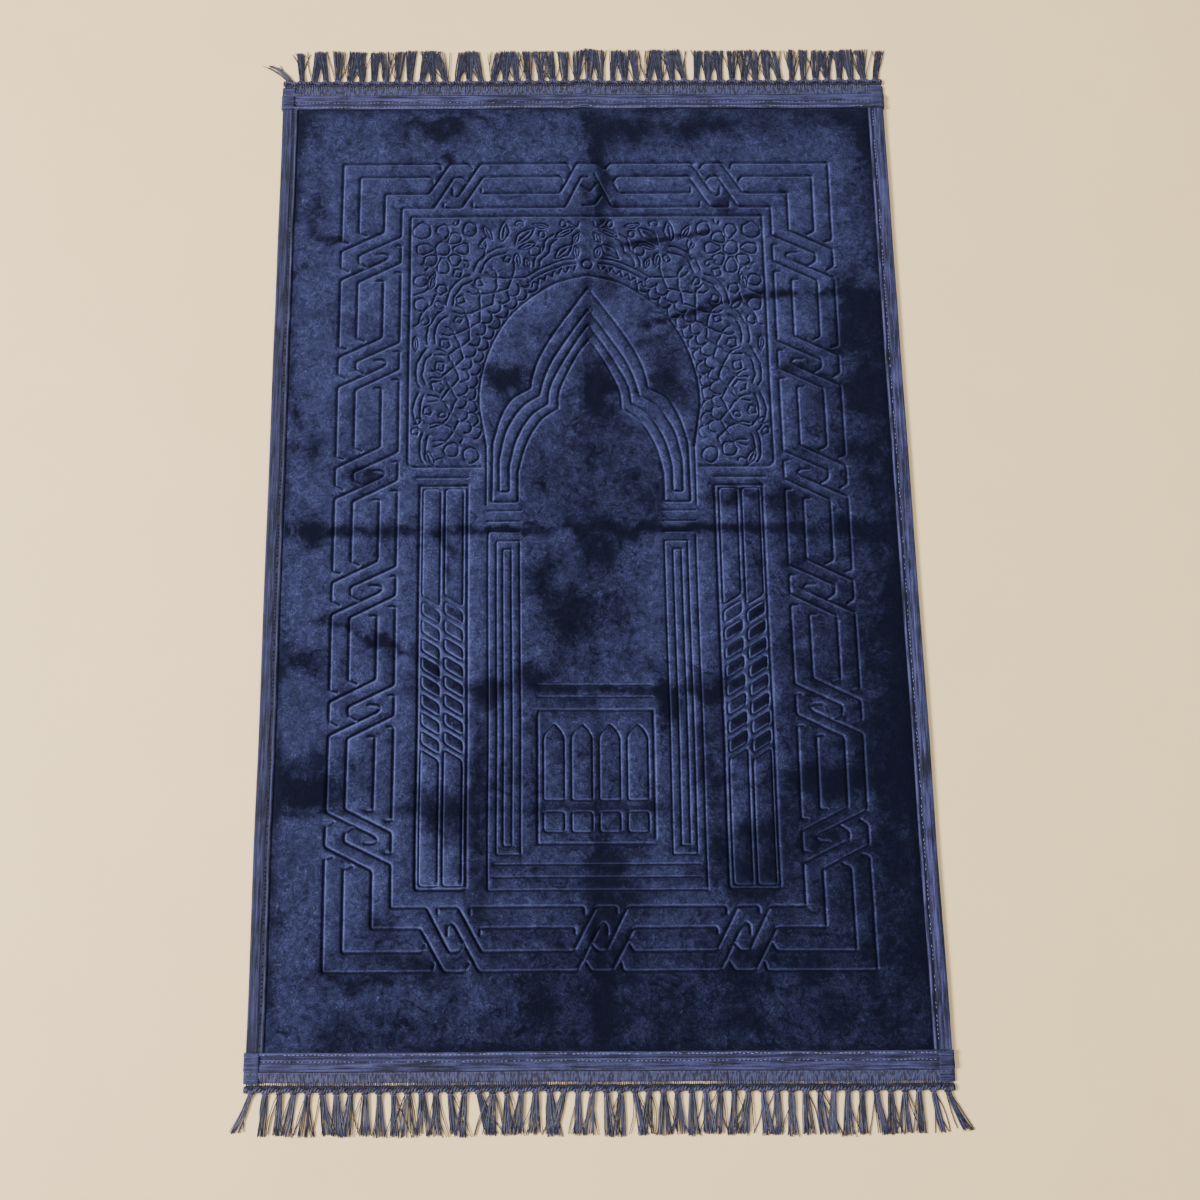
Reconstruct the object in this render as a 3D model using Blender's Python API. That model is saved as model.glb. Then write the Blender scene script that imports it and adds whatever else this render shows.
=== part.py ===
"""An embossed velvet prayer rug that lies flat: padded mat, folded tape on four edges, a fringe at each end.

X runs across the rug, +Y towards the end that the arch points to, +Z up; the origin is on the floor
under the middle. Lengths are in metres, and the tables of the pressed pattern are in millimetres.
"""

import math
import random

import bmesh
import bpy
import numpy as np
from mathutils import Vector
from mathutils.geometry import delaunay_2d_cdt

MM = 0.001

# Driving sizes
WIDTH = 0.700  # over the side tapes
LENGTH = 1.077  # over the folds of the end tapes
LEAN = -0.0141  # the cloth lies out of square: metres across for each metre along
CLEAR = 0.0003  # left between neighbouring pieces
SHARP = math.radians(40)  # faces that meet flatter than this are shaded as one

PILE_TOP = 0.0060  # padded velvet, floor to pile
RIM_LOW, RIM_HIGH = 0.0011, 0.0033  # the mat is pressed thin inside the tapes
SWELL_FROM = 0.0185  # the pile starts to rise this far from the fold, just inside the tape's edge
SWELL = ((0.0, 0.0), (0.0038, 0.72), (0.0085, 1.0))  # inwards from there, share of the rise
UNDER_SLOPE = 0.005  # underneath, the rim comes down to the floor over this far

TAPE = 0.0008  # thickness of the tape
TAPE_OVER = 0.0180  # how far it reaches over the top
TAPE_UNDER = 0.0155  # how far it reaches underneath
END_TAPE_PROUD = 0.0012  # the end tapes stand out past the side tapes

HEADING = 0.0130  # woven heading of the fringe, beyond the end tape
HEADING_FACES = (0.0009, 0.0021)  # its under and upper side where it leaves the tape
HEADING_OUTER = 0.0018  # its upper side where it meets the chain
CHAIN = 0.0080  # knotted chain along the heading
CHAIN_HIGH = 0.0034
KNOT_HIGH = 0.0046
CHAIN_CREST = 0.45  # the chain is highest this far across it
CHAIN_FRONT = 0.72  # and its front edge has this share of the height
TUFTS = 50  # knotted tufts at each end
LOCKS_A_TUFT = 2
LOCK_WIDE = 0.0036
LOCK_LONG = 0.0440
LOCK_SECTIONS = ((0.35, 0.0041, 0.0026), (1.0, 0.0022, 0.0009))  # share of length, width, height
LOCK_DRIFT = 0.0009  # locks lean either way by up to this much
LOCK_UNEVEN = 0.0045  # and differ in length by this much
CORNER_SPLAY = 0.0150  # the outermost locks lean out by this much
CORNER_SHARE = 0.20  # share of the half width in which they do

# Pressed lines: half width and depth, in millimetres
PRESS = {"line": (2.6, 1.8), "fine": (1.9, 1.2), "flower": (2.1, 1.2)}
PATTERN_AT = (2.0, 2.7)  # middle of the pattern on the mat

BORDER_HALF = (278.5, 446.7)  # the border's outer line
# Its four lines: inset at the sides, at the head end and at the foot end
RAILS = ((0.0, 0.0, 0.0), (19.5, 16.6, 19.1), (48.5, 37.7, 42.1), (68.0, 55.3, 62.7))

# A clasp, where the four lines of the border change places: (along, inwards) from where it starts,
# each line from its loose end to the rail that it becomes
CLASP_START = (
    ((14, 8), (12, 0)),
    ((5, 28), (1, 19.5)),
    ((49, 8), (44, 0), (24, 0), (0, 48.5)),
    ((43, 28), (38, 20), (29, 19.5), (6, 68)),
)
CLASP_FINISH = (
    ((27, 40), (27, 50), (31, 54), (35, 50), (59, 0)),
    ((17, 62), (17, 68), (38, 68), (62, 19.5)),
    ((60, 41), (60, 48.5)),
    ((50, 61), (50, 68)),
)
# Clasps in order round the border, against the clock: edge, where it starts, which way it runs
CLASPS = (
    ("head", -180.0, 1),
    ("left", 361.7, -1),
    ("left", 233.5, -1),
    ("left", 105.2, -1),
    ("left", -23.1, -1),
    ("left", -151.3, -1),
    ("left", -347.1, 1),
    ("foot", -180.0, 1),
    ("foot", 36.0, -1),
    ("foot", 180.0, -1),
    ("right", -347.1, 1),
    ("right", -151.3, -1),
    ("right", -23.1, -1),
    ("right", 105.2, -1),
    ("right", 233.5, -1),
    ("right", 361.7, -1),
    ("head", 180.0, -1),
)
WALK = {"head": -1, "left": -1, "foot": 1, "right": 1}  # sign of the walk along each edge
# The peaked clasp in the middle of the head end: (across, inwards), loose end first
PEAK_LEFT = (
    ((-18, 8), (-22, 0)),
    ((-26, 28), (-30, 19.5)),
    ((20, 9), (12, 0), (-10, 0), (-30, 48.5)),
    ((2, 20), (-5, 19.5), (-24, 68)),
)
PEAK_RIGHT = (
    ((23, 8), (28, 0)),
    ((31, 29), (36, 19.5)),
    ((32, 32), (38, 48.5)),
    ((10, 16), (30, 68)),
)
PEAK_LOOSE = (((-5, 36), (4, 46), (12, 32)), ((-4, 65), (10, 64), (17, 52)))

FRAME = ((120, 81.7), (195, 81.7), (200, 86.7), (200, 380.3), (0, 380.3))  # right half
OUTER_ARCH = (
    (0, 307.8), (40, 296), (80, 266.7), (104, 232.5), (118, 193), (122, 159), (119, 134), (114, 105),
)
# Lines of the pointed arch, right half: from the peak to the kink, then on to the foot of the curve
ARCH_UPPER = (
    ((0, 292), (20, 264), (40, 235), (55, 208), (62, 188), (65, 172)),
    ((0, 266), (20, 237), (40, 206), (50, 183), (55, 164)),
    ((0, 248), (20, 218), (37, 188), (44, 171), (46, 154)),
    ((0, 230), (15, 208), (29, 180), (34, 165), (35, 149)),
)
ARCH_LOWER = (
    ((65, 172), (85, 160), (98, 139), (107, 108)),
    ((55, 164), (75, 150), (92, 123), (100, 90)),
    ((46, 154), (65, 140), (81, 113), (89, 82)),
    ((35, 149), (55, 134), (71, 106), (79.5, 75)),
)
ARCH_FEET = (
    ((107, 108), (108, 41.6), (79.5, 41.6), (79.5, 75)),
    ((100, 90), (100, 53), (89, 53), (89, 82)),
)
PILASTER = (  # the capital's bars and the shaft's nested lines, right side
    ((76, 31.8), (113, 31.8)),
    ((77, 20.0), (113, 20.0)),
    ((78, 8.3), (111, 8.3), (112, 4.0), (112, -367.7)),
    ((114, 105), (114, 38.0)),
)
SHAFTS = ((78.0, 103.0, -2.0, -332.4), (87.0, 96.0, -11.3, -323.6))  # x from, x to, top, foot
BASE_LINES = ((112, -367.7), (106, -354.9), (106, -342.2))  # half length, y
COLUMN_CAP = ((134, 190, 69.9), (134, 187, 60.2))  # x from, x to, y
COLUMN = {"inner": 136.5, "middle": 160.5, "outer": 185.5, "top": 60.2, "foot": -366.7}
TWIST = {"from": -64.0, "turns": 8, "pitch": 19.6, "rise": 16.0}
DOOR_LINES = ((60, -158.2), (60, -170.9))
DOOR = (60.5, -184.6, -321.7)  # half width, top, foot
WINDOWS_AT = (-43.5, -14.5, 14.5, 43.5)
WINDOW = {"half": 10.8, "point": -198.3, "haunch": -205.0, "shoulder": -213.0, "foot": -277.6}
PANES = (-289.3, -309.9)

ROSETTE = {"at": (162.0, 340.0), "eye": 7.5, "petals": 8, "from": 11.0, "to": 30.0, "wide": 12.0}
BUDS = ((190, 368, 6), (122, 364, 7), (187, 301, 8), (187, 274, 8), (130, 97, 8))  # x, y, radius
GARLAND = {"off": 49.0, "from": 14.0, "pitch": 35.0, "lobes": 8, "radius": 20.0}

CREASES = (  # left in the padding where it was folded: points, half width, depth, in millimetres
    (((-315, 18.5), (-60, 18.0), (120, 19.5), (315, 22.0)), 7.0, 0.7),
    (((2, 508), (3, 300), (1, 60), (3, -200), (2, -508)), 6.0, 0.6),
    (((92, 256), (180, 262), (285, 281)), 6.0, 0.6),
    (((58, 352), (120, 350), (178, 353)), 5.0, 0.5),
)


def smooth(points, steps):
    """A smooth curve through the points, with this many steps between each two."""
    p = np.array(points, float)
    p = np.vstack([2 * p[0] - p[1], p, 2 * p[-1] - p[-2]])
    found = []
    for a, b, c, d in zip(p[:-3], p[1:-2], p[2:-1], p[3:]):
        for u in np.arange(steps) / steps:
            found.append(
                b + 0.5 * u * (c - a + u * (2 * a - 5 * b + 4 * c - d + u * (3 * (b - c) + d - a)))
            )
    return [tuple(q) for q in found] + [tuple(p[-2])]


def flip(points):
    return [(-x, y) for x, y in points]


def ring(x, y, radius, steps):
    """A circle, as a closed line."""
    turns = np.arange(steps) * 2 * math.pi / steps
    return [(x + radius * math.cos(a), y + radius * math.sin(a)) for a in turns]


def petal(x, y, angle, near, far, wide, steps):
    """A teardrop that points at (x, y), as a closed line."""
    found = []
    for a in np.arange(steps) * 2 * math.pi / steps:
        along = (near + far) / 2 + (far - near) / 2 * math.cos(a)
        across = wide / 2 * math.sin(a) * (1 + 0.4 * math.cos(a))
        found.append((
            x + along * math.cos(angle) - across * math.sin(angle),
            y + along * math.sin(angle) + across * math.cos(angle),
        ))
    return found


def beside(points, off):
    """Where a line runs when it is moved off to its left."""
    p = np.array(points, float)
    way = np.diff(p, axis=0)
    way /= np.linalg.norm(way, axis=1)[:, None]
    way = np.vstack([way[:1], way[:-1] + way[1:], way[-1:]])
    way /= np.linalg.norm(way, axis=1)[:, None]
    return p + off * np.stack([-way[:, 1], way[:, 0]], 1)


def spread(points, first, pitch, count):
    """Points at equal steps along a line, each with the line's direction there."""
    p = np.array(points, float)
    run = np.concatenate([[0], np.cumsum(np.linalg.norm(np.diff(p, axis=0), axis=1))])
    at = first + pitch * np.arange(count)
    here = np.stack([np.interp(at, run, p[:, k]) for k in (0, 1)], 1)
    ahead = np.stack([np.interp(at + 1, run, p[:, k]) for k in (0, 1)], 1)
    return here, np.arctan2(*(ahead - here).T[::-1])


def border_point(edge, along, inwards):
    """A point of the border from its place along an edge and its inset there."""
    half_x, half_y = BORDER_HALF
    at_side, at_head, at_foot = np.array(RAILS).T
    return {
        "head": (along, half_y - float(np.interp(inwards, at_side, at_head))),
        "foot": (along, float(np.interp(inwards, at_side, at_foot)) - half_y),
        "left": (inwards - half_x, along),
        "right": (half_x - inwards, along),
    }[edge]


def border_ports():
    """The two ends of every clasp, in order round the border: edge, and a line for each rail."""
    ports = [("head", [[border_point("head", *q) for q in line] for line in PEAK_LEFT])]
    for edge, start, way in CLASPS:
        ends = [CLASP_START, CLASP_FINISH]
        if way != WALK[edge]:
            ends.reverse()
        for lines in ends:
            placed = [[border_point(edge, start + way * s, t) for s, t in line] for line in lines]
            ports.append((edge, placed))
    ports.append(("head", [[border_point("head", *q) for q in line] for line in PEAK_RIGHT]))
    return ports


def border_lines():
    """Each strand of the border runs from one clasp to the next, square round a corner."""
    ports = border_ports()
    lines = []
    for (edge_a, from_a), (edge_b, to_b) in zip(ports[::2], ports[1::2]):
        for (inset, _, _), a, b in zip(RAILS, from_a, to_b):
            turn = []
            if edge_a != edge_b:
                side, end = sorted((edge_a, edge_b), key=("left", "right", "head", "foot").index)
                turn = [(border_point(side, 0, inset)[0], border_point(end, 0, inset)[1])]
            lines.append(a + turn + b[::-1])
    lines += [[border_point("head", *q) for q in line] for line in PEAK_LOOSE]
    return lines


def arch_lines(steps):
    """The pointed arch's lines on the right side."""
    lines = [smooth(OUTER_ARCH, steps)]
    for upper, lower in zip(ARCH_UPPER, ARCH_LOWER):
        lines.append(smooth(upper, steps) + smooth(lower, steps)[1:])
    return lines + list(ARCH_FEET)


def column_lines():
    """A column's cap, its split shaft and the twist round its middle, on the right side."""
    c, t = COLUMN, TWIST
    lines = [((x0, y), (x1, y)) for x0, x1, y in COLUMN_CAP]
    for x in (c["inner"], c["middle"], c["outer"]):
        lines.append(((x, c["top"]), (x, c["foot"])))
    lines.append(((c["inner"], c["foot"]), (c["outer"], c["foot"])))
    for k in range(t["turns"] + 1):
        y = t["from"] - k * t["pitch"]
        for x0, x1 in ((c["inner"], c["middle"]), (c["middle"], c["outer"])):
            lines.append(((x0, y - t["rise"]), (x1, y)))
    return lines


def window(x):
    """A pointed window over the door, as a closed line."""
    w = WINDOW
    right = [(w["half"], w["foot"]), (w["half"], w["shoulder"]), (w["half"] * 0.6, w["haunch"])]
    outline = right + [(0, w["point"])] + flip(right)[::-1]
    return [(x + across, y) for across, y in outline]


def box_line(x0, x1, y0, y1):
    return [(x0, y0), (x1, y0), (x1, y1), (x0, y1)]


def flower_lines():
    """The flowers of the right spandrel: a rosette, buds, and a lobed garland along the arch."""
    r = ROSETTE
    closed = [ring(*r["at"], r["eye"], 8)]
    for k in range(r["petals"]):
        angle = k * 2 * math.pi / r["petals"]
        closed.append(petal(*r["at"], angle, r["from"], r["to"], r["wide"], 7))
    closed += [ring(x, y, radius, 7) for x, y, radius in BUDS]
    g = GARLAND
    here, way = spread(beside(smooth(OUTER_ARCH, 4), g["off"]), g["from"], g["pitch"], g["lobes"])
    lobes = []
    for (x, y), a in zip(here, way):
        if math.hypot(x - r["at"][0], y - r["at"][1]) < r["to"] + g["radius"] + 2:
            continue
        turns = a + math.pi / 2 + np.radians([-78, -40, 0, 40, 78])
        arc = [(x + g["radius"] * math.cos(b), y + g["radius"] * math.sin(b)) for b in turns]
        lobes.append([q for q in arc if 12 < q[0] < 190 and q[1] < 370])
    return closed, [line for line in lobes if len(line) > 2]


def pressed_lines():
    """Every pressed line: points in millimetres from the pattern's middle, closed or open, kind."""
    found = [(line, False, "line") for line in border_lines()]
    closed, lobes = flower_lines()
    right = [(FRAME, False, "line")]
    right += [(line, False, "line") for line in arch_lines(3)]
    right += [(line, False, "fine") for line in PILASTER]
    right += [(box_line(*box), True, "fine") for box in SHAFTS]
    right += [(line, False, "line") for line in column_lines()]
    right += [(line, True, "flower") for line in closed]
    right += [(line, False, "flower") for line in lobes]
    for line, is_closed, kind in right:
        found += [(line, is_closed, kind), (flip(line), is_closed, kind)]
    found += [(((-half, y), (half, y)), False, "fine") for half, y in BASE_LINES + DOOR_LINES]
    half, top, foot = DOOR
    found.append((box_line(-half, half, foot, top), True, "line"))
    for x in WINDOWS_AT:
        found.append((window(x), True, "fine"))
        found.append((box_line(x - WINDOW["half"], x + WINDOW["half"], PANES[1], PANES[0]), True, "fine"))
    return found


def banks(points, closed, half):
    """The line at each side of a pressed line, with mitred corners."""
    p = np.array(points, float)
    way = np.diff(np.vstack([p, p[:1]]) if closed else p, axis=0)
    way /= np.linalg.norm(way, axis=1)[:, None]
    before = np.vstack([way[-1:], way[:-1]]) if closed else np.vstack([way[:1], way])
    after = way if closed else np.vstack([way, way[-1:]])
    side = np.stack([-(before + after)[:, 1], (before + after)[:, 0]], 1)
    square = np.stack([-after[:, 1], after[:, 0]], 1)
    side /= np.maximum((side * square).sum(1), 0.7)[:, None]
    return p + half * side, p - half * side, way


def add_line(points, closed, places, edges):
    """Adds a line's points and its edges to the lists."""
    first = len(places)
    places += [tuple(q) for q in points]
    edges += [(first + k, first + k + 1) for k in range(len(points) - 1)]
    if closed:
        edges.append((len(places) - 1, first))


def distance_to(spots, points, closed):
    """How far each spot is from a line."""
    p = np.array(points, float)
    if closed:
        p = np.vstack([p, p[:1]])
    nearest = np.full(len(spots), 1e9)
    for a, b in zip(p[:-1], p[1:]):
        u = np.clip(((spots - a) @ (b - a)) / ((b - a) @ (b - a)), 0, 1)
        nearest = np.minimum(nearest, np.linalg.norm(spots - a - u[:, None] * (b - a), axis=1))
    return nearest


def lie(x, y):
    """Where a point of the square-cut rug lies, in metres."""
    return x + LEAN * y, y


def mat_top():
    """The pile side of the mat: its points in metres, and its triangles."""
    half_x, half_y = mat_half()
    start = SWELL_FROM - TAPE - CLEAR
    insets = np.array([0.0] + [start + inwards for inwards, _ in SWELL]) / MM
    heights = RIM_HIGH + (PILE_TOP - RIM_HIGH) * np.array([0.0] + [share for _, share in SWELL])
    places, edges = [], []
    for inset in insets:
        hx, hy = half_x / MM - inset, half_y / MM - inset
        add_line(box_line(-hx, hx, -hy, hy), True, places, edges)
    lines = []
    for points, closed, kind in pressed_lines():
        half, depth = PRESS[kind]
        moved = np.array(points, float) + PATTERN_AT
        lines.append((moved, closed, half, depth))
    for points, half, depth in CREASES:
        lines.append((np.array(points, float), False, half, depth))
    for points, closed, half, _ in lines:
        left, right, way = banks(points, closed, half)
        add_line(points, closed, places, edges)
        if closed:
            add_line(left, True, places, edges)
            add_line(right, True, places, edges)
        else:
            tips = points[-1] + half * way[-1], points[0] - half * way[0]
            add_line(np.vstack([left, tips[:1], right[::-1], tips[1:]]), True, places, edges)
    made = delaunay_2d_cdt([Vector(q) for q in places], edges, [], 0, 0.12)
    spots = np.array([tuple(q) for q in made[0]])
    inset = np.minimum(half_x / MM - np.abs(spots[:, 0]), half_y / MM - np.abs(spots[:, 1]))
    pressed, creased = np.zeros(len(spots)), np.zeros(len(spots))
    for k, (points, closed, half, depth) in enumerate(lines):
        sunk = depth * np.clip(1 - distance_to(spots, points, closed) / half, 0, 1)
        total = creased if k >= len(lines) - len(CREASES) else pressed
        np.maximum(total, sunk, out=total)
    z = np.interp(inset, insets, heights) - (pressed + creased) * MM
    x, y = lie(spots[:, 0] * MM, spots[:, 1] * MM)
    return np.stack([x, y, z], 1), [tuple(f) for f in made[2]]


def mat_half():
    """Half the mat's size, inside the folds of the tapes."""
    inside = TAPE + CLEAR
    return WIDTH / 2 - inside, LENGTH / 2 - inside


def new_object(name, points, faces, finish):
    """A closed mesh, facing out, as an object with its own finish."""
    shape = bmesh.new()
    corners = [shape.verts.new(tuple(map(float, p))) for p in points]
    for face in faces:
        shape.faces.new([corners[k] for k in face])
    bmesh.ops.recalc_face_normals(shape, faces=shape.faces)
    mesh = bpy.data.meshes.new(name)
    shape.to_mesh(mesh)
    shape.free()
    mesh.shade_smooth()
    mesh.set_sharp_from_angle(angle=SHARP)
    mesh.materials.append(finish)
    thing = bpy.data.objects.new(name, mesh)
    bpy.context.scene.collection.objects.link(thing)
    return thing


def mat(finish):
    """Padded velvet: flat below, thin inside the tapes, swollen and pressed with the pattern above."""
    top, faces = mat_top()
    half_x, half_y = mat_half()
    corner = ((-1, -1), (1, -1), (1, 1), (-1, 1))
    under = TAPE_UNDER - TAPE
    rings = ((0.0, RIM_LOW), (under, RIM_LOW), (under + UNDER_SLOPE, 0.0))
    points = [tuple(p) for p in top]
    loops = []
    outline = []
    for sx, sy in corner:
        x, y = lie(sx * half_x, sy * half_y)
        outline.append(int(np.argmin((top[:, 0] - x) ** 2 + (top[:, 1] - y) ** 2)))
    loops.append(outline)
    for inset, z in rings:
        loops.append(list(range(len(points), len(points) + 4)))
        for sx, sy in corner:
            points.append((*lie(sx * (half_x - inset), sy * (half_y - inset)), z))
    for above, below in zip(loops[:-1], loops[1:]):
        for k in range(4):
            n = (k + 1) % 4
            faces.append((above[n], above[k], below[k], below[n]))
    faces.append(tuple(loops[-1][::-1]))
    return new_object("mat", points, faces, finish)


def fold_profile():
    """Section of a tape folded round an edge: (inwards from the fold, height), one closed loop."""
    top = RIM_HIGH + CLEAR + TAPE
    pocket_low, pocket_high = TAPE, RIM_HIGH + CLEAR
    soft = 0.0011
    return (
        (TAPE_UNDER, 0.0),
        (soft, 0.0),
        (soft * 0.25, soft * 0.4),
        (0.0, soft * 1.5),
        (0.0, top - soft),
        (soft * 0.3, top - soft * 0.3),
        (soft * 1.2, top),
        (TAPE_OVER - 0.001, top),
        (TAPE_OVER, top - 0.0004),
        (TAPE_OVER, pocket_high),
        (TAPE, pocket_high),
        (TAPE, pocket_low),
        (TAPE_UNDER, pocket_low),
    )


def side_binding(name, side, finish):
    """Tape folded over one long edge, between the end tapes."""
    profile = fold_profile()
    reach = LENGTH / 2 - TAPE_OVER - CLEAR
    points = []
    for y in (-reach, reach):
        for inwards, z in profile:
            points.append((*lie(side * (WIDTH / 2 - inwards), y), z))
    n = len(profile)
    faces = [(k, (k + 1) % n, n + (k + 1) % n, n + k) for k in range(n)]
    faces += [tuple(range(n)), tuple(range(n, 2 * n))]
    return new_object(name, points, faces, finish)


def end_binding(name, side, finish):
    """Tape folded over one end and tucked in at both corners, so its pocket is closed there."""
    profile = fold_profile()
    outline, pocket = profile[:-3] + profile[-1:], profile[-4:]
    reach = WIDTH / 2 + END_TAPE_PROUD
    points = []
    for loop, half in ((outline, reach), (pocket, WIDTH / 2 - TAPE)):
        for x in (-half, half):
            for inwards, z in loop:
                points.append((*lie(x, side * (LENGTH / 2 - inwards)), z))
    m = len(outline)
    left, right = 2 * m, 2 * m + 4
    faces = [(k, k + 1, m + k + 1, m + k) for k in range(m - 3)]
    faces += [(left + k, left + k + 1, right + k + 1, right + k) for k in range(3)]
    faces.append((m - 3, m - 2, left, right, 2 * m - 2, 2 * m - 3))
    faces.append((m - 1, 0, m, 2 * m - 1, right + 3, left + 3))
    faces += [tuple(range(left, left + 4)), tuple(range(right, right + 4))]
    faces += [(m - 1, left + 3, left, m - 2), (2 * m - 2, right, right + 3, 2 * m - 1)]
    faces += [tuple(range(m)), tuple(range(m, 2 * m))]
    return new_object(name, points, faces, finish)


def stitch(near, far, points):
    """Triangles between two rows of points that run the same way, here counted across the rug."""
    faces, i, j = [], 0, 0
    while i < len(near) - 1 or j < len(far) - 1:
        step_near = i < len(near) - 1 and (
            j == len(far) - 1 or points[near[i + 1]][0] <= points[far[j + 1]][0]
        )
        if step_near:
            faces.append((near[i], near[i + 1], far[j]))
            i += 1
        else:
            faces.append((near[i], far[j + 1], far[j]))
            j += 1
    return faces


def fringe(name, side, finish, seed):
    """A woven heading, its knotted chain and the locks that hang from it, resting on the floor."""
    draw = random.Random(seed)
    locks = TUFTS * LOCKS_A_TUFT
    pitch = WIDTH / locks
    start = LENGTH / 2 + CLEAR
    ridge = start + HEADING
    front = ridge + CHAIN
    points = []

    def put(x, y, z):
        points.append((*lie(x, side * y), z))
        return len(points) - 1

    edges = (-WIDTH / 2 + pitch * 0.2, WIDTH / 2 - pitch * 0.2)
    stops = [edges[0]]
    for k in range(locks):
        middle = -WIDTH / 2 + (k + 0.5) * pitch
        stops += [middle - LOCK_WIDE / 2, middle + LOCK_WIDE / 2]
    stops.append(edges[1])
    crest, lip, toe = [], [], []
    for k, x in enumerate(stops):
        high = KNOT_HIGH if k % 4 in (2, 3) else CHAIN_HIGH
        crest.append(put(x, ridge + CHAIN * CHAIN_CREST, high))
        lip.append(put(x, front, high * CHAIN_FRONT))
        toe.append(put(x, front, 0.0))
    rows = []
    low, high = HEADING_FACES
    for y, z in ((ridge, 0.0), (start, low), (start, high), (ridge, HEADING_OUTER)):
        rows.append([put(edges[0], y, z), put(edges[1], y, z)])
    faces = stitch(rows[0], toe, points)
    for near, far in zip(rows[1:], rows[:-1]):
        faces.append((near[0], near[1], far[1], far[0]))
    faces += stitch(rows[3], crest, points)
    for k in range(len(stops) - 1):
        faces.append((crest[k + 1], crest[k], lip[k], lip[k + 1]))
        if k % 2 == 0:
            faces.append((lip[k + 1], lip[k], toe[k], toe[k + 1]))
    for end in (0, -1):
        cap = [rows[r][end] for r in range(4)] + [crest[end], lip[end], toe[end]]
        faces.append(tuple(cap))
    for k in range(locks):
        a, b = 2 * k + 1, 2 * k + 2
        middle = (stops[a] + stops[b]) / 2
        near_corner = max(0.0, 1 - (1 - abs(middle) / (WIDTH / 2)) / CORNER_SHARE)
        lean = math.copysign(CORNER_SPLAY * near_corner**2, middle)
        lean += draw.uniform(-LOCK_DRIFT, LOCK_DRIFT)
        long = LOCK_LONG - draw.uniform(0, LOCK_UNEVEN)
        section = [lip[a], lip[b], toe[b], toe[a]]
        for share, wide, high in LOCK_SECTIONS:
            x = middle + lean * share**1.3
            y = front + long * share
            corners = ((-1, high), (1, high), (1, 0.0), (-1, 0.0))
            ahead = [put(x + s * wide / 2, y, z) for s, z in corners]
            for c in range(4):
                n = (c + 1) % 4
                faces.append((section[n], section[c], ahead[c], ahead[n]))
            section = ahead
        faces.append(tuple(section))
    return new_object(name, points, faces, finish)


def finish_of(name, colour, roughness):
    """A plain finish in one colour."""
    finish = bpy.data.materials.new(name)
    finish.use_nodes = True
    shader = finish.node_tree.nodes["Principled BSDF"]
    shader.inputs["Base Color"].default_value = (*colour, 1)
    shader.inputs["Roughness"].default_value = roughness
    shader.inputs["Metallic"].default_value = 0.0
    return finish


def build():
    for old in list(bpy.data.objects):
        bpy.data.objects.remove(old, do_unlink=True)
    velvet = finish_of("velvet_pile", (0.022, 0.030, 0.085), 0.85)
    tape = finish_of("binding_tape", (0.055, 0.062, 0.165), 0.75)
    yarn = finish_of("fringe_yarn", (0.030, 0.042, 0.120), 0.70)
    mat(velvet)
    side_binding("side_binding_left", -1, tape)
    side_binding("side_binding_right", 1, tape)
    end_binding("end_binding_head", 1, tape)
    end_binding("end_binding_foot", -1, tape)
    fringe("fringe_head", 1, yarn, 11)
    fringe("fringe_foot", -1, yarn, 12)


build()
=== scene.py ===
import math
import random

import bmesh
import bpy
import numpy as np
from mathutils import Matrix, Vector, noise
from mathutils.geometry import delaunay_2d_cdt
from mathutils.kdtree import KDTree


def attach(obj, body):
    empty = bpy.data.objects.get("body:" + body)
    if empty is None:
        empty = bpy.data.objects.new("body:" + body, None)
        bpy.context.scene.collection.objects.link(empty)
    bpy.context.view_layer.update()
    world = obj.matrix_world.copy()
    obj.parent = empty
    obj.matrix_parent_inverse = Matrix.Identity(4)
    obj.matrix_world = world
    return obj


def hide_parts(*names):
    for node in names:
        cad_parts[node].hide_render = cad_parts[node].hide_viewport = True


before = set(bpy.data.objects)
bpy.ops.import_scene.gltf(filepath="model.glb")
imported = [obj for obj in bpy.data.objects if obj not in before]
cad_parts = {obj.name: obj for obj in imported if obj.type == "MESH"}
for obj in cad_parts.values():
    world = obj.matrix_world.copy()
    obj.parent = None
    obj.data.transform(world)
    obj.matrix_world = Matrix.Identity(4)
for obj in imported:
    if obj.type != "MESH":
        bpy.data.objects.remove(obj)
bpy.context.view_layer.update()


# ---- The view ------------------------------------------------------------------------------------
# The rug is seen from a little over a metre above its foot half, with its head end a little further
# away. X runs across the rug and Y towards its head end.

EYE = (0.0091, -0.3229, 1.2573)
EYE_TILT = math.radians(11.67)
EYE_TURN = math.radians(-0.23)

lens = bpy.data.cameras.new("view")
lens.lens = 36.0
lens.sensor_width = 36.0
view = bpy.data.objects.new("view", lens)
view.location = EYE
view.rotation_euler = (EYE_TILT, 0.0, EYE_TURN)
bpy.context.scene.collection.objects.link(view)
bpy.context.scene.camera = view


# ---- The floor and the light ---------------------------------------------------------------------
# A plain pale floor, a broad soft lamp high on the left, which the banks of the pressed lines face or
# turn away from, and a weak one above.


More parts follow.
